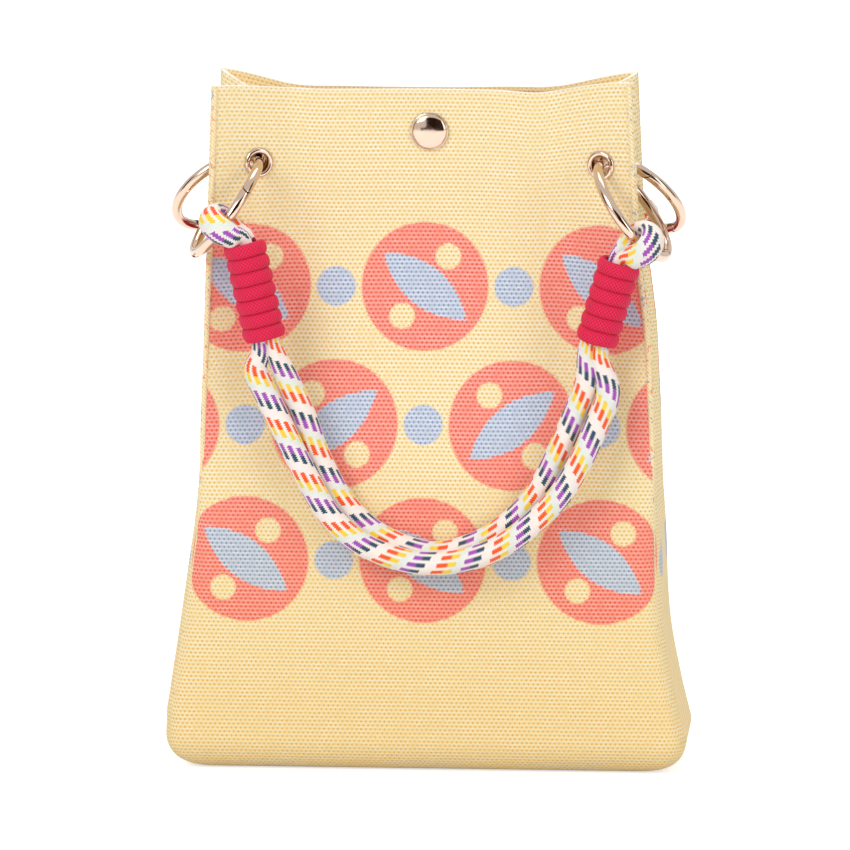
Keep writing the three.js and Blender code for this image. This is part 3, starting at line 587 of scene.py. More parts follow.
def knit_material(name, loop_codes, crest_highlight_codes, gap_shade_codes):
    """Knitted cotton in three yarns, with painted crest highlights, painted gap shade and a paler painted
    mouth edge.
    """
    material, tree = new_material(name)
    # Each stitch is two slanting legs. Every second course is moved by half a stitch.
    stitches_across, stitches_up = run_on(tree, "stitches")
    stagger = calc("FRACT", calc("MULTIPLY", calc("FLOOR", stitches_up), 0.5))
    in_wale = calc("FRACT", calc("ADD", stitches_across, stagger))
    sideways = calc("ABSOLUTE", calc("SUBTRACT", in_wale, 0.5))
    in_course = calc("FRACT", stitches_up)
    below = calc("ABSOLUTE", calc("MULTIPLY_ADD", sideways, -loop_rise, in_course))
    next_leg = calc("MULTIPLY_ADD", sideways, -loop_rise, 1 + loop_rise / 2)
    leg_distance = calc("MINIMUM", below, calc("SUBTRACT", next_leg, in_course))
    loop = remap(leg_distance, *loop_edge, interpolation_type="SMOOTHSTEP")
    gap_up, gap_across = remap(leg_distance, *gap_edge_up), remap(sideways, *gap_edge_across)
    gap = calc("MULTIPLY", gap_up, gap_across)
    # Random patchiness in how strong the painted gap shade and the painted crest highlight are.
    patchiness = grain(tree, scale=260.0, detail=3.0)
    # Painted shade: the gaps between the loops are mixed towards a darker colour of each yarn.
    gap_shade_share = calc("MULTIPLY", gap, remap(patchiness, *patchiness_range, to_low=0.5, to_high=0.95))
    # A yarn's field ends where its share at a stitch falls under a half, a little further out on a loop.
    masks = []
    for field in ("coral", "blue"):
        pushed = calc("MULTIPLY_ADD", loop, yarn_push, share_of(tree, field))
        masks.append(remap(pushed, *yarn_edge))
    colours = []
    for yellow, coral, blue in (loop_codes, crest_highlight_codes, gap_shade_codes):
        field = mixed(masks[0], srgb(yellow), srgb(coral))
        colours.append(mixed(masks[1], field, srgb(blue)))
    # Painted highlight: the loops' crests are mixed towards a paler colour of each yarn.
    crest_highlight_share = calc("MULTIPLY", loop, remap(patchiness, *patchiness_range, to_low=0.45))
    knitted = mixed(gap_shade_share, mixed(crest_highlight_share, colours[0], colours[1]), colours[2])
    # The lower part is a little darker and warmer, painted shade towards the bottom, and the mouth's edge is
    # paler, a painted highlight where the knit turns over.
    place = add_node(tree, "ShaderNodeTexCoord").outputs["Object"]
    height_above = add_node(tree, "ShaderNodeSeparateXYZ", [(0, place)]).outputs["Z"]
    lower = remap(height_above, *bottom_shade_range, to_high=0.9)
    shaded_towards_bottom = mixed(lower, knitted, srgb("FFF6E2"), blend_type="MULTIPLY")
    # Painted highlight: the mouth's rolled edge is mixed towards a pale cream.
    rim_highlight_share = remap(share_of(tree, "rim"), *rim_highlight_edge, to_high=0.85)
    rim_highlighted = mixed(rim_highlight_share, shaded_towards_bottom, srgb("FFFCF2"))
    fuzzy = calc("MULTIPLY_ADD", grain(tree, scale=2600.0), fuzz_share, calc("SUBTRACT", loop, gap))
    cotton_surface(rim_highlighted, fuzzy, roughness=0.92, sheen=0.12, strength=0.6, distance=0.0004)
    return material


# Each material's colours are given for the loops, the painted highlight on their crests and the painted shade
# in the gaps.
knit_outside = knit_material(
    "double_knit_cotton", ("FCE3A4", "FF8A78", "BCC9DE"), ("FFFBEE", "FFC4B6", "EAF0FA"),
    ("E0A63C", "D8352B", "5A7098"),
)
knit_inside = knit_material(
    "double_knit_cotton_reverse", ("F4D392", "F08A70", "A9B4C6"), ("FBE9C0", "F8B09C", "C6D0E0"),
    ("CC9038", "C8402E", "506490"),
)

# Panels.
# Front and back are each one knitted piece, folded flat against the gussets near the mouth, drawn in at
# the snap and full at the belly, and rolled under the bag at the bottom. They carry staggered rows of
# coral rounds, each with a blue leaf and two yellow dots, and a blue dot between every two rounds.
bag_height = 0.286
top_half_width = 0.0864
bottom_half_width = 0.1093
base_half_depth = 0.0295
base_radius = 0.015
corner_radius = 0.008
corner_full = 0.095
corner_gone = 0.15
knit_thickness = 0.002
knit_edge = 0.0007
seam_gap = 0.0003
stack_gap = (knit_thickness + seam_gap / 2) / math.cos(stack_slant)
panel_crown = 0.0012
belly_top = 0.095
stack_bottom = 0.236
snap_half_depth = 0.00425
snap_x = 0.002
snap_height = 0.2685
waist_half_depth = 0.006
snap_flat = 0.01
waist_x = 0.040
stack_inner_x = 0.058
eyelet_hole = 0.0049
opening_core = 0.0034
opening_reach = 0.0057
opening_depth = 0.012
metal_reach = (0.009, 0.024)
ripple = 0.0007
ripple_waves = [(22, 13, 3.7, 1.0), (55, 40, 1.0, 0.5)]
ripple_start = (0.018, 0.05)
flat_edge = 0.012
merge_distance = 0.00002
left_flare = (0.56, 0.40, 1.2)
right_flare = (0.42, 0.58, 3.0)
right_swell = 0.0036
swell_start = (0.05, 0.11)
swell_end = (0.175, 0.236)
roll_length = base_radius * math.pi / 2
knit_length = roll_length + bag_height - base_radius
course_count = round(knit_length / course_pitch)
wale_count = 2 * math.ceil(bottom_half_width / wale_pitch)
corner_rise = {(-1, -1): 0.003, (1, -1): 0.0052, (-1, 1): 0.0053, (1, 1): 0.0045}
corner_rise_x = 0.045
corner_rise_z = 0.215
mouth_dip = 0.0012
mouth_dip_x = 0.048
mouth_dip_reach = 0.012
pattern_width = 0.074
pattern_height = 0.056
pattern_foot = 0.064
pattern_rows = 3
round_radius = 0.0265
leaf_half_length = 0.0225
leaf_half_width = 0.0085
leaf_turn = math.radians(38)
dot_radius = 0.0052
dot_offset = 0.0155
between_radius = 1.6 * dot_radius
field_edge = 1.6 * wale_pitch


def leaf_reach(x, z, turn):
    """How far a place lies inside a leaf at the middle, in metres, below 0 outside it."""
    cosine, sine = math.cos(turn), math.sin(turn)
    along = (x * cosine + z * sine) / leaf_half_length
    across = abs(z * cosine - x * sine) / leaf_half_width
    return (1 - along * along - across) * leaf_half_width


def pattern_at(x, z):
    """The shares of coral and blue yarn at a place: rounds with a leaf and two dots, blue dots between."""
    coral = blue = yellow = -1.0
    for row in range(pattern_rows):
        centre_z = pattern_foot + (row + 0.5) * pattern_height
        shift = pattern_width / 2 if row % 2 else 0.0
        offset = (x - shift + pattern_width / 2) % pattern_width - pattern_width / 2
        turn = leaf_turn if row % 2 else -leaf_turn
        up = z - centre_z
        coral = max(coral, round_radius - math.hypot(offset, up))
        blue = max(blue, leaf_reach(offset, up, turn))
        for side in (-1, 1):
            away = Vector((offset, up)) - Vector((-math.sin(turn), math.cos(turn))) * (side * dot_offset)
            yellow = max(yellow, dot_radius - away.length)
        blue = max(blue, between_radius - math.hypot(abs(offset) - pattern_width / 2, up))
    coral = min(coral, -yellow)
    return [min(max(0.5 + reach / field_edge, 0.0), 1.0) for reach in (coral, blue)]


def height_at(run):
    """Height of a course that lies run above the top of the roll, or on the roll where run is negative."""
    if run >= 0:
        return base_radius + run
    return base_radius * (1 - math.cos(math.pi / 2 + run / base_radius))


def roll_inset(run):
    return base_radius * (1 - math.sin(math.pi / 2 + run / base_radius)) if run < 0 else 0.0


def half_width_at(z, side=-1):
    """The bag widens slowly at first and then fast above its base, and its right side is a little fuller."""
    drop = (bag_height - max(z, base_radius)) / (bag_height - base_radius)
    start, span, power = right_flare if side > 0 else left_flare
    flare = min(max((drop - start) / span, 0.0), 1.0) ** power
    swell = right_swell * smooth(z, *swell_start) * (1 - smooth(z, *swell_end)) if side > 0 else 0.0
    return top_half_width + (bottom_half_width - top_half_width) * (0.5 * drop + 0.5 * flare) + swell


def mouth_half_depth(x):
    """Half the mouth's depth: snapped shut at the middle, drawn in beside it and stacked at the corners."""
    if x >= stack_inner_x:
        return stack_line(x) + stack_gap
    if x <= waist_x:
        return mix(snap_half_depth, waist_half_depth, smooth(x, snap_flat, waist_x))
    run = stack_inner_x - waist_x
    t = (x - waist_x) / run
    rise = stack_line(stack_inner_x) + stack_gap - waist_half_depth
    slope_run = run * math.tan(stack_slant)
    return waist_half_depth + rise * (3 * t ** 2 - 2 * t ** 3) + slope_run * (t ** 3 - t ** 2)


def panel_half_depth(x, z):
    width = half_width_at(z)
    crown = panel_crown * (1 - (x / width) ** 2) * smooth(z, base_radius, belly_top)
    return mix(base_half_depth + crown, mouth_half_depth(x), smooth(z, belly_top, stack_bottom))


def corner_share(z):
    """How far the bag's upright corners are rounded at a height: 1 at the belly, 0 where the pleats close."""
    return 1 - smooth(z, corner_full, corner_gone)


def round_corner(point, width, depth):
    """Pull a place near the bag's corner in, so that the square corner of its plan becomes an arc."""
    radius = corner_radius * corner_share(point.z)
    along = abs(point.x) - (width - radius)
    across = abs(point.y) - (depth - radius)
    if along > 0 and across > 0:
        pull = 1 - max(along, across) / math.hypot(along, across)
        point.x -= math.copysign(along * pull, point.x)
        point.y -= math.copysign(across * pull, point.y)
    return point


def rim_rise(x, front, z):
    """The mouth's corners stand a little higher than its middle, and its front edge dips beside the snap."""
    side = -1 if x < 0 else 1
    corner = corner_rise[(side, front)] * smooth(abs(x), corner_rise_x, top_half_width)
    dip = mouth_dip * math.exp(-((x - mouth_dip_x) / mouth_dip_reach) ** 2) if front < 0 else 0.0
    return (corner - dip) * smooth(z, corner_rise_z, bag_height)


def stations_with(key, value):
    return [station for station in stations.values() if station[key] == value]


def near_metal(point, front):
    """0 beside an eyelet or the snap, where the knit is clamped flat, and 1 away from them."""
    places = [station["centre"] for station in stations_with("front", front)]
    places.append(Vector((snap_x, front * snap_half_depth, snap_height)))
    return min(smooth((point - place).length, *metal_reach) for place in places)


def panel_point(x, run, front):
    z = height_at(run)
    width = half_width_at(z, 1 if x > 0 else -1) - roll_inset(run)
    x = max(-width, min(width, x))
    depth = panel_half_depth(abs(x), z) - roll_inset(run)
    point = Vector((x, front * depth, z + rim_rise(x, front, z)))
    off_edge = 1 - smooth(abs(x), width - flat_edge, width)
    free = smooth(z, *ripple_start) * off_edge * near_metal(point, front)
    wave = sum(
        share * noise.noise(Vector((x * across, z * up, layer * front)))
        for across, up, layer, share in ripple_waves
    )
    point.y += front * ripple * wave * free
    return round_corner(point, width, depth)


def activate(piece):
    bpy.ops.object.select_all(action="DESELECT")
    piece.select_set(True)
    bpy.context.view_layer.objects.active = piece


def apply_modifier(piece, kind, **settings):
    activate(piece)
    bpy.ops.object.modifier_add(type=kind)
    modifier = piece.modifiers[-1]
    for key, value in settings.items():
        setattr(modifier, key, value)
    bpy.ops.object.modifier_apply(modifier=modifier.name)


def round_edges(piece, radius, angle):
    """Round the edges that are sharper than an angle in degrees."""
    apply_modifier(
        piece, "BEVEL", width=radius, segments=3, limit_method="ANGLE", angle_limit=math.radians(angle),
    )


def finish_knit(piece, name):
    """Name the piece and give it its wall, with the knit's other face inside and soft edges."""
    piece.name = piece.data.name = name
    apply_modifier(
        piece, "SOLIDIFY", thickness=knit_thickness, offset=-1.0, material_offset=1, use_even_offset=True,
    )
    round_edges(piece, knit_edge, angle=62)
    piece.data.shade_smooth()


def knit_grid(columns, rows, place_at, yarns_of, openings, flipped):
    """A grid of stitches with openings: place_at(i, j) gives a corner, yarns_of(i, j) its coral and blue."""
    piece = primitive(bpy.ops.mesh.primitive_grid_add, x_subdivisions=columns, y_subdivisions=rows, size=1)
    mesh = piece.data
    corner = {v.index: (round((v.co.x + 0.5) * columns), round((v.co.y + 0.5) * rows)) for v in mesh.vertices}
    uv = mesh.uv_layers.new(name="stitches")
    fields = [mesh.attributes.new(field, "FLOAT", "POINT") for field in ("coral", "blue", "rim")]
    gone = set()
    for face in mesh.polygons:
        for loop, vertex in zip(face.loop_indices, face.vertices):
            uv.data[loop].uv = corner[vertex]
    for vertex in mesh.vertices:
        cell = corner[vertex.index]
        vertex.co = place_at(*cell)
        at_mouth = 1.0 if openings and cell[1] == rows else 0.0
        for field, share in zip(fields, (*yarns_of(*cell), at_mouth)):
            field.data[vertex.index].value = share
    for station in openings:
        for vertex in mesh.vertices:
            away = vertex.co - station["centre"]
            sideways = away - station["outward"] * away.dot(station["outward"])
            if away.length > opening_depth or sideways.length > opening_reach:
                continue
            if sideways.length < opening_core:
                gone.add(vertex.index)
            else:
                vertex.co -= sideways * (1 - eyelet_hole / sideways.length)
    bpy.ops.object.mode_set(mode="EDIT")
    bpy.ops.mesh.select_mode(type="VERT")
    bpy.ops.mesh.select_all(action="DESELECT")
    bpy.ops.object.mode_set(mode="OBJECT")
    mesh.vertices.foreach_set("select", [vertex.index in gone for vertex in mesh.vertices])
    bpy.ops.object.mode_set(mode="EDIT")
    bpy.ops.mesh.delete(type="VERT")
    bpy.ops.mesh.select_all(action="SELECT")
    bpy.ops.mesh.remove_doubles(threshold=merge_distance)
    if flipped:
        bpy.ops.mesh.flip_normals()
    bpy.ops.object.mode_set(mode="OBJECT")
    mesh.materials.append(knit_outside)
    mesh.materials.append(knit_inside)
    return piece


def run_of(j):
    return j * knit_length / course_count - roll_length


def hang_on_bag(piece, front):
    """The front's place is baked into its mesh, and the back stays with the bag."""
    if front < 0:
        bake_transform(piece)
    else:
        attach(piece, "bag")


for name, front in [("front_panel", -1), ("back_panel", 1)]:
    def panel_corner(i, j):
        return panel_point((i - wale_count / 2) * wale_pitch, run_of(j), front)

    def panel_yarns(i, j):
        x = (i - wale_count / 2) * wale_pitch
        return pattern_at(x if front < 0 else -x, base_radius + run_of(j))

    panel = knit_grid(
        wale_count, course_count, panel_corner, panel_yarns,
        stations_with("front", front), front > 0,
    )
    finish_knit(panel, f"{name}_knit")
    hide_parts(name)
    hang_on_bag(panel, front)

# Gussets.
# Each side is one knitted strip between the panels. It is folded in at its middle, flat against both
# panels near the mouth and opened out below. Its mouth edge dips towards the fold.
gusset_run = 0.029
gusset_fold_run = 0.0035
pleat_bottom = 0.085
pleat_bend = 0.006
fold_dip = 0.0075
fold_dip_start = 0.25
fold_dip_bottom = 0.2
gusset_tuck = 0.008
gusset_inset = 0.6 * knit_thickness
closing_passes = 3
rounding_passes = 3
half_columns = 17
gusset_pattern_reach = 0.022
gusset_length = bag_height - base_radius + gusset_tuck
gusset_courses = round(gusset_length / course_pitch)


def gusset_half(z, side):
    """The front half of a gusset in plan, as (distance from the middle, depth): corner, run and fold."""
    width = half_width_at(z, side)
    edge = Vector((width, panel_half_depth(width, z)))
    pleated = smooth(z, pleat_bottom, stack_bottom)
    slant = math.atan(math.tan(stack_slant) * smooth(z, belly_top, stack_bottom))
    inward = Vector((-math.cos(slant), -math.sin(slant)))
    normal = Vector((math.sin(slant), -math.cos(slant)))

    def start_at(closing):
        return edge + normal * (knit_thickness + seam_gap + knit_thickness * closing)

    def bend_from(start):
        folded = start + inward * gusset_run
        return Vector((mix(width, folded.x, pleated), mix(pleat_bend, folded.y, pleated)))

    start = start_at(pleated)
    for _ in range(closing_passes):
        start = start_at(max(0.0, (bend_from(start) - start).normalized().dot(inward)))
    bend = bend_from(start)
    fold = Vector((bend.x - gusset_fold_run * pleated, 0.0))
    return [edge + normal * (gusset_inset * (1 - corner_share(z))), start, bend, fold]


def evenly_along(line, count):
    """count + 1 points at equal distances along a line of points."""
    lengths = [(b - a).length for a, b in zip(line, line[1:])]
    total, found = sum(lengths), []
    for k in range(count + 1):
        left = total * k / count
        for (a, b), length in zip(zip(line, line[1:]), lengths):
            if left <= length or b is line[-1]:
                found.append(a.lerp(b, min(left / length, 1.0)))
                break
            left -= length
    return found


def gusset_row(side, z):
    """One course of a gusset from the front corner to the back corner, its fold and bends rounded."""
    half = evenly_along(gusset_half(z, side), half_columns)
    row = [Vector((p.x, -p.y)) for p in half] + [Vector((p.x, p.y)) for p in half[-2::-1]]
    for _ in range(rounding_passes):
        row = [row[0], *[(a + 2 * b + c) / 4 for a, b, c in zip(row, row[1:], row[2:])], row[-1]]
    return [Vector((side * p.x, p.y, z)) for p in row]


for side, hand in [(-1, "left"), (1, "right")]:
    rows = []
    for j in range(gusset_courses + 1):
        z = base_radius - gusset_tuck + gusset_length * j / gusset_courses
        row = gusset_row(side, z)
        for i, point in enumerate(row):
            to_fold = 1 - abs(i - half_columns) / half_columns
            rise = rim_rise(side * half_width_at(z), -1 if point.y < 0 else 1, z)
            dip = fold_dip * smooth(to_fold, fold_dip_start, 1) * smooth(z, fold_dip_bottom, bag_height)
            point.z += rise * (1 - smooth(to_fold, 0, 0.5)) - dip
            width = half_width_at(z, side)
            round_corner(point, width, panel_half_depth(width, z))
            if z < base_radius:
                roll_depth = base_radius - math.sqrt(base_radius ** 2 - (base_radius - z) ** 2)
                sunk = roll_depth + knit_thickness / 2
                point.x -= side * sunk
                point.y *= 1 - sunk / base_half_depth
        rows.append(row)

    def gusset_corner(i, j):
        return rows[j][i]

    def gusset_yarns(i, j):
        z = base_radius - gusset_tuck + j * course_pitch
        reach = min(i, 2 * half_columns - i) * wale_pitch
        coral, blue = pattern_at(side * (half_width_at(z) + reach), z)
        patterned = z < pattern_foot + pattern_height and reach < gusset_pattern_reach
        return (coral, blue) if patterned else (0.0, 0.0)

    gusset = knit_grid(
        2 * half_columns, gusset_courses, gusset_corner, gusset_yarns,
        stations_with("hand", hand), side < 0,
    )
    finish_knit(gusset, f"{hand}_gusset_knit")
    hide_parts(f"{hand}_gusset_front", f"{hand}_gusset_back")
    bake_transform(gusset)

# Base.
# The knitted bottom lies flat between the rolled edges of the panels and turns up at both ends to meet
# the gussets.
end_rows = 14
bottom_rows = 96
base_columns = 34


def base_point(i, j):
    """The base runs from the left gusset under the bag to the right gusset, i across and j along it."""
    reach = end_rows + bottom_rows / 2
    along = j - reach
    side = -1 if along < 0 else 1
    beyond = abs(along) - bottom_rows / 2
    run = -roll_length * (1 - beyond / end_rows) if beyond > 0 else -roll_length
    inset = roll_inset(run)
    flat = bottom_half_width - base_radius
    x = side * (bottom_half_width - inset) if beyond > 0 else flat * along / (bottom_rows / 2)
    y = (base_half_depth - inset) * (2 * i / base_columns - 1)
    point = Vector((x, y, height_at(run) if beyond > 0 else 0.0))
    return round_corner(point, bottom_half_width - inset, base_half_depth - inset)


base = knit_grid(
    base_columns, 2 * end_rows + bottom_rows, base_point, lambda i, j: (0.0, 0.0), [], False,
)
finish_knit(base, "base_knit")
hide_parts("base_panel")
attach(base, "bag")

# Corner seams.
# The panels are linked to the gussets and the base by a narrow raised seam at each corner, where ends of
# the coloured yarns show as specks.
seam_radius = 0.0012
seam_inset = 0.0008
seam_step = 0.0022
seam_sides = 12
thin_share = 0.35
thin_range = (0.004, 0.03)
seam_twist = 4.0
link_shade_range = (0.0, 0.3)
speck_edge = (0.62, 0.66)
seam_cotton, tree = new_material("linked_cotton_seam")
along, around = run_on(tree, "run")
links = calc("MULTIPLY_ADD", around, seam_twist, calc("DIVIDE", along, course_pitch))
link_height = calc("PINGPONG", links, 0.5)
link_shade = remap(link_height, *link_shade_range, to_low=0.8, to_high=0.0)
linked = mixed(link_shade, srgb("FCEBC0"), srgb("E8C476"))
speck_share = remap(grain(tree, scale=700.0, detail=1.0), *speck_edge, to_high=0.75)
speck_colour = ramp(grain(tree, scale=90.0), [(0.0, "8FA0C0"), (0.5, "F08068")], "CONSTANT")
specked = mixed(speck_share, linked, speck_colour)
cotton_surface(specked, link_height, roughness=0.92, sheen=0.12, strength=0.6, distance=0.0005)


def seam_line(side, front):
    """The corner's line from the bottom of the bag to the mouth, a little inside its edge."""
    found = []
    count = round(knit_length / seam_step)
    for k in range(count + 1):
        run = k * knit_length / count - roll_length
        z = height_at(run)
        inset = roll_inset(run) + seam_inset
        width = half_width_at(z, side) - inset
        depth = panel_half_depth(half_width_at(z, side), z) - inset
        point = round_corner(Vector((side * width, front * depth, max(z, seam_radius))), width, depth)
        point.z += rim_rise(side * width, front, z)
        found.append(point)
    found[-1].z -= seam_radius
    return found


for front, corner_name in [(-1, "front"), (1, "back")]:
    for side, hand in [(-1, "left"), (1, "right")]:
        line = seam_line(side, front)
        radii = [seam_radius * mix(thin_share, 1.0, smooth(point.z, *thin_range)) for point in line]
        across = [Vector((side, front, 0))] * len(line)
        seam, _ = tube_piece(f"{corner_name}_{hand}_corner_seam", line, across, radii, radii, seam_sides)
        seam.data.materials.append(seam_cotton)
        hang_on_bag(seam, front)

# Eyelets and washers.
# Each eyelet is a pressed barrel of plated brass. Its rounded lip shows outside, and behind the knit its
# end is rolled over a flat washer.
eyelet_bore = 0.0039
washer_edge = 0.0001
barrel_wall = 0.00035
lip_radius = 0.0012
eyelet_face = 0.0023
washer_thickness = 0.0006
washer_inner = 0.00455
washer_outer = 0.00615
fit_gap = 0.0003
turned_steps = 96
weld_distance = 0.000002


def metal(name, code, marks, smoothest, roughest):
    """Metal of a colour. Its roughness changes a little over its fine marks."""
    material, tree = new_material(name)
    roughness = remap(grain(tree, marks), 0.0, 1.0, smoothest, roughest)
    show(add_node(tree, "ShaderNodeBsdfPrincipled", [
        ("Base Color", srgb(code)), ("Metallic", 1.0), ("Roughness", roughness),
    ]))
    return material


# Plated brass, polished: pale champagne, with faint polishing marks.
champagne = metal("polished_champagne_plating", "DCC2AE", 900.0, 0.07, 0.16)


def finish_metal(piece, name, material, edge, smooth_angle=35):
    """Name the piece, round its sharp edges by a radius, shade it and give it its material."""
    activate(piece)
    piece.name = piece.data.name = name
    if edge:
        round_edges(piece, edge, angle=40)
    bpy.ops.object.shade_smooth_by_angle(angle=math.radians(smooth_angle))
    piece.data.materials.clear()
    piece.data.materials.append(material)


def spin_outline(steps, angle, close):
    """Spin the active outline round the upright axis, close what it leaves open and turn its faces out."""
    bpy.ops.object.mode_set(mode="EDIT")
    bpy.ops.mesh.select_all(action="SELECT")
    bpy.ops.mesh.spin(steps=steps, angle=angle, center=(0, 0, 0), axis=(0, 0, 1))
    bpy.ops.mesh.select_all(action="SELECT")
    close()
    bpy.ops.mesh.normals_make_consistent(inside=False)
    bpy.ops.object.mode_set(mode="OBJECT")


def close_turn():
    bpy.ops.mesh.remove_doubles(threshold=weld_distance)
    bpy.ops.mesh.dissolve_degenerate()


def turned_piece(profile, centre, axis):
    """A turned part: a closed profile of (radius, distance along the axis) points, spun round the axis."""
    piece = primitive(bpy.ops.mesh.primitive_circle_add, vertices=len(profile))
    for vertex, (radius, along) in zip(piece.data.vertices, profile):
        vertex.co = (radius, 0.0, along)
    spin_outline(turned_steps, 2 * math.pi, close_turn)
    piece.matrix_world = Matrix.Translation(centre) @ axis.to_track_quat("Z", "Y").to_matrix().to_4x4()
    bpy.ops.object.transform_apply()
    return piece


def arc_of(middle, height, radius, first, last, count):
    """Points of an arc in a profile, its angles in degrees from the outward direction."""
    angles = [math.radians(mix(first, last, k / (count - 1))) for k in range(count)]
    return [(middle + radius * math.cos(angle), height + radius * math.sin(angle)) for angle in angles]


lip_middle = eyelet_bore + lip_radius
eyelet_back = -(eyelet_face + washer_thickness + fit_gap)
roll_radius = 0.00035
roll_middle = eyelet_bore + barrel_wall + roll_radius
eyelet_profile = [
    *arc_of(lip_middle, eyelet_face, lip_radius, 0, 180, 13),
    *arc_of(roll_middle, eyelet_back - roll_radius, 2 * roll_radius, 180, 360, 9),
    (eyelet_bore + barrel_wall + 2 * roll_radius, eyelet_back),
    (eyelet_bore + barrel_wall, eyelet_back),
    (eyelet_bore + barrel_wall, eyelet_face),
]
washer_profile = [
    (washer_inner, -eyelet_face - washer_thickness), (washer_outer, -eyelet_face - washer_thickness),
    (washer_outer, -eyelet_face), (washer_inner, -eyelet_face),
]
for name, station in stations.items():
    for part, profile, edge in [("eyelet", eyelet_profile, 0), ("washer", washer_profile, washer_edge)]:
        piece = turned_piece(profile, station["centre"], station["outward"])
        finish_metal(piece, f"{name}_{part}_metal", champagne, edge)
        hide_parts(f"{name}_{part}")
        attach(piece, "bag_front" if station["front"] < 0 else "bag")

# Spring-gate rings.
# Each is a ring of plated 4.4 mm wire, 50 mm across, with a hinged gate. The gate turns on a steel pin in
# a slot of the ring, and a small spring in the slot holds it shut.
wire_radius = 0.0022
hinge_angle = math.radians(12)
tip_angle = math.radians(116)
gate_slit = 0.0004
cut_span = 0.008
cut_overlap = math.radians(9)
tongue_thickness = 0.0013
tongue_radius = 0.0019
shoulder_offset = 0.0026
tongue_sides = 48
pin_radius = 0.00055
pin_length = 0.004
pin_sides = 24
spring_length = 0.0024
spring_height = 0.0016
wire_sides = 40
ring_steps = 150
wire_edge = 0.00012
pin_edge = 0.0001
spring_edge = 0.0002
web_overlap = 0.001

# Bare steel of the pins and springs: grey, with fine drawing lines along the wire.
spring_steel = metal("bare_spring_steel", "B9B8B6", 3000.0, 0.22, 0.4)


def on_ring(angle):
    return Vector((math.cos(angle), math.sin(angle), 0)) * ring_radius


def arc_wire(first, last):
    """The ring's wire between two angles, with closed ends."""
    wire = primitive(bpy.ops.mesh.primitive_circle_add, vertices=wire_sides, radius=wire_radius)
    start, upright = on_ring(first), Vector((0, 0, 1))
    for vertex in wire.data.vertices:
        vertex.co = start + start.normalized() * vertex.co.x + upright * vertex.co.y
    steps = math.ceil((last - first) / (2 * math.pi) * ring_steps)
    spin_outline(steps, first - last, lambda: bpy.ops.mesh.fill_holes(sides=0))
    return wire


def block_on(origin, angle, span, half_width, half_height):
    """A block from span[0] to span[1] along a direction of the ring's plane."""
    along = Vector((math.cos(angle), math.sin(angle), 0))
    block = primitive(
        bpy.ops.mesh.primitive_cube_add, size=1, location=origin + along * (sum(span) / 2),
        rotation=(0, 0, angle), scale=(span[1] - span[0], 2 * half_width, 2 * half_height),
    )
    bpy.ops.object.transform_apply()
    return block


def rod_at(origin, radius, length, sides):
    rod = primitive(
        bpy.ops.mesh.primitive_cylinder_add, vertices=sides, radius=radius, depth=length, location=origin,
    )
    bpy.ops.object.transform_apply()
    return rod


def carve(piece, operation, other):
    """Cut another piece from this one, join it on or keep only what they share. The other is used up."""
    apply_modifier(piece, "BOOLEAN", operation=operation, solver="EXACT", object=other)
    bpy.data.objects.remove(other, do_unlink=True)
    return piece


hinge, tip = on_ring(hinge_angle), on_ring(tip_angle)
hinge_run = hinge_angle + math.pi / 2
chord = math.atan2(tip.y - hinge.y, tip.x - hinge.x)
slot_half = tongue_thickness / 2 + fit_gap
spring_back = tongue_radius + fit_gap + spring_length
beyond_hinge = carve(
    block_on(hinge, hinge_run, (0, cut_span), cut_span, cut_span), "DIFFERENCE",
    rod_at(hinge, wire_radius, 3 * cut_span, tongue_sides),
)
ring_master = arc_wire(tip_angle - cut_overlap, hinge_angle + cut_overlap + 2 * math.pi)
for cutter in [
    block_on(tip, chord, (-cut_span, gate_slit / 2), cut_span, cut_span),
    beyond_hinge,
    block_on(hinge, hinge_run, (-spring_back - fit_gap, cut_span), cut_span, slot_half),
    rod_at(hinge, pin_radius + fit_gap, 3 * wire_radius, pin_sides),
]:
    carve(ring_master, "DIFFERENCE", cutter)
gate_master = arc_wire(hinge_angle, tip_angle + cut_overlap)
for cutter in [
    block_on(tip, chord, (-gate_slit / 2, cut_span), cut_span, cut_span),
    block_on(hinge, hinge_run, (-cut_span, shoulder_offset), cut_span, cut_span),
]:
    carve(gate_master, "DIFFERENCE", cutter)
web = carve(
    arc_wire(hinge_angle, hinge_angle + 2 * cut_overlap), "INTERSECT",
    block_on(hinge, hinge_run, (0, shoulder_offset + web_overlap), cut_span, tongue_thickness / 2),
)
carve(gate_master, "UNION", web)
carve(gate_master, "UNION", rod_at(hinge, tongue_radius, tongue_thickness, tongue_sides))
carve(gate_master, "DIFFERENCE", rod_at(hinge, pin_radius + fit_gap, 3 * wire_radius, pin_sides))
pin_master = rod_at(hinge, pin_radius, pin_length, pin_sides)
spring_master = block_on(
    hinge, hinge_run, (-spring_back, -tongue_radius - fit_gap), spring_height / 2, tongue_thickness / 2,
)
ring_pieces = [
    (ring_master, "ring", "ring", "pale_gold", champagne, wire_edge),
    (gate_master, "ring_gate", "gate", "pale_gold", champagne, wire_edge),
    (pin_master, "ring_pin", "ring", "steel", spring_steel, pin_edge),
    (spring_master, "ring_spring", "ring", "steel", spring_steel, spring_edge),
]
for master, part, _, _, material, edge in ring_pieces:
    finish_metal(master, part, material, edge, smooth_angle=30)
for name, station in stations.items():
    gate_arm = station["arm"] * (1 if station["hand"] == "left" else -1)
    turned = Matrix((station["radial"], gate_arm, station["radial"].cross(gate_arm))).transposed()
    placed = Matrix.Translation(station["middle"]) @ turned.to_4x4()
    for master, part, body, slot, _, _ in ring_pieces:
        activate(master)
        bpy.ops.object.duplicate()
        piece = bpy.context.object
        piece.name = piece.data.name = f"{name}_{part}_metal"
        piece.matrix_world = placed
        bpy.ops.object.transform_apply()
        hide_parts(f"{name}_{part}")
        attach(piece, f"{name}_{body}")
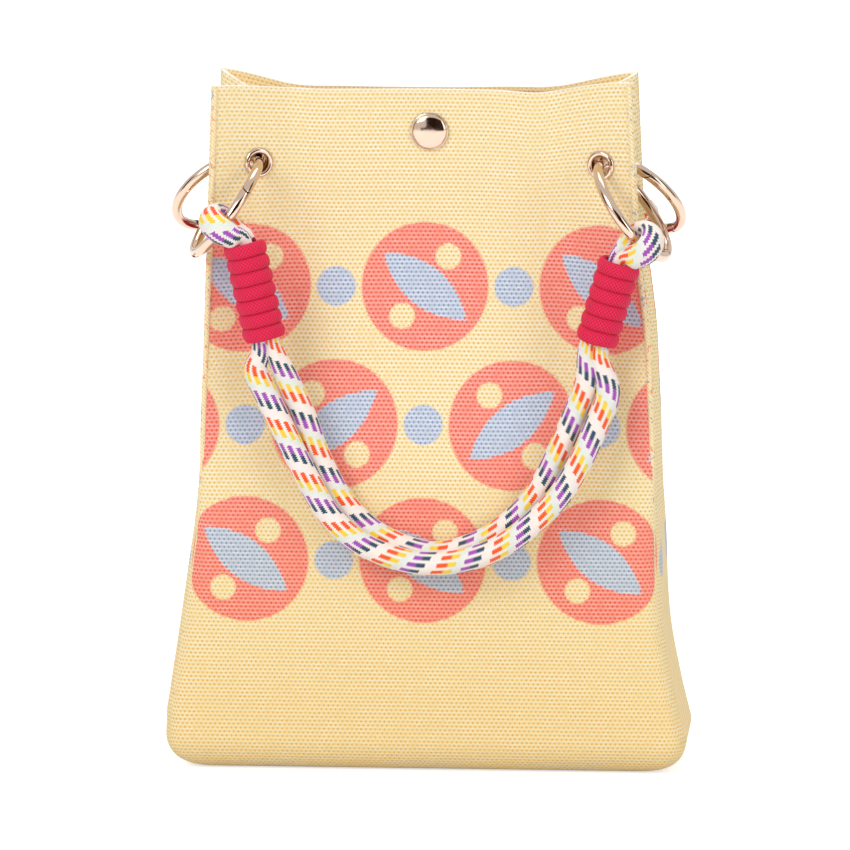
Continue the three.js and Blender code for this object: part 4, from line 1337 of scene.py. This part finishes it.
for master, *_ in ring_pieces:
    bpy.data.objects.remove(master, do_unlink=True)

# Press snap.
# A domed cap and a socket are riveted through the front panel, and a stud and a rivet through the back
# panel. The cap is the only one seen from the front.
snap_cap_radius = 0.0078
snap_cap_height = 0.0028
snap_rim_height = 0.0009
rim_bevel = (0.0003, 0.0001)
dome_inset = 0.0005
snap_post_radius = 0.0014
socket_radius = 0.0056
socket_height = 0.0022
socket_bore = 0.0024
socket_bore_depth = 0.0018
stud_radius = 0.005
stud_plate = 0.0008
stud_pin_radius = 0.0019
stud_pin_height = 0.0026
rivet_radius = 0.0055
rivet_height = 0.0012
snap_edge = 0.00015
snap_inner = snap_half_depth - knit_thickness
snap_outer = snap_half_depth + fit_gap
post_end = snap_inner + fit_gap
cap_edge = snap_outer + snap_rim_height
socket_top = snap_inner - fit_gap
socket_low = socket_top - socket_height


def stepped(steps, top):
    """The outline of round steps up to a height. Each is given as its radius and its lower face's height."""
    outline, inner = [], 0
    for radius, height in steps:
        outline += [(inner, height), (radius, height)]
        inner = radius
    return [*outline, (inner, top)]


dome_angles = [math.radians(angle) for angle in range(0, 90, 6)]
dome_height = snap_cap_height - snap_rim_height
dome_radius = snap_cap_radius - dome_inset
cap_profile = [
    *stepped([(snap_post_radius, post_end), (snap_cap_radius, snap_outer)], cap_edge),
    (snap_cap_radius - rim_bevel[0], cap_edge + rim_bevel[1]),
    *[(dome_radius * math.cos(a), cap_edge + dome_height * math.sin(a)) for a in dome_angles],
    (0, snap_outer + snap_cap_height),
]
socket_steps = [(socket_bore, socket_low + socket_bore_depth), (socket_radius, socket_low)]
socket_profile = [*stepped(socket_steps, socket_top), (0, socket_top)]
stud_steps = [(stud_pin_radius, socket_top - stud_pin_height), (stud_radius, socket_top - stud_plate)]
stud_profile = [*stepped(stud_steps, socket_top), (0, socket_top)]
rivet_profile = [
    *stepped([(snap_post_radius, post_end), (rivet_radius, snap_outer)], snap_outer + 0.3 * rivet_height),
    (0.8 * rivet_radius, snap_outer + 0.85 * rivet_height), (0.4 * rivet_radius, snap_outer + rivet_height),
    (0, snap_outer + rivet_height),
]
snap_centre = Vector((snap_x, 0, snap_height))
for name, profile, front in [
    ("snap_cap", cap_profile, -1), ("snap_socket", socket_profile, -1),
    ("snap_stud", stud_profile, 1), ("snap_rivet", rivet_profile, 1),
]:
    piece = turned_piece(profile, snap_centre, Vector((0, front, 0)))
    finish_metal(piece, f"{name}_metal", champagne, snap_edge)
    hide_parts(name)
    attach(piece, "bag_front" if front < 0 else "bag")
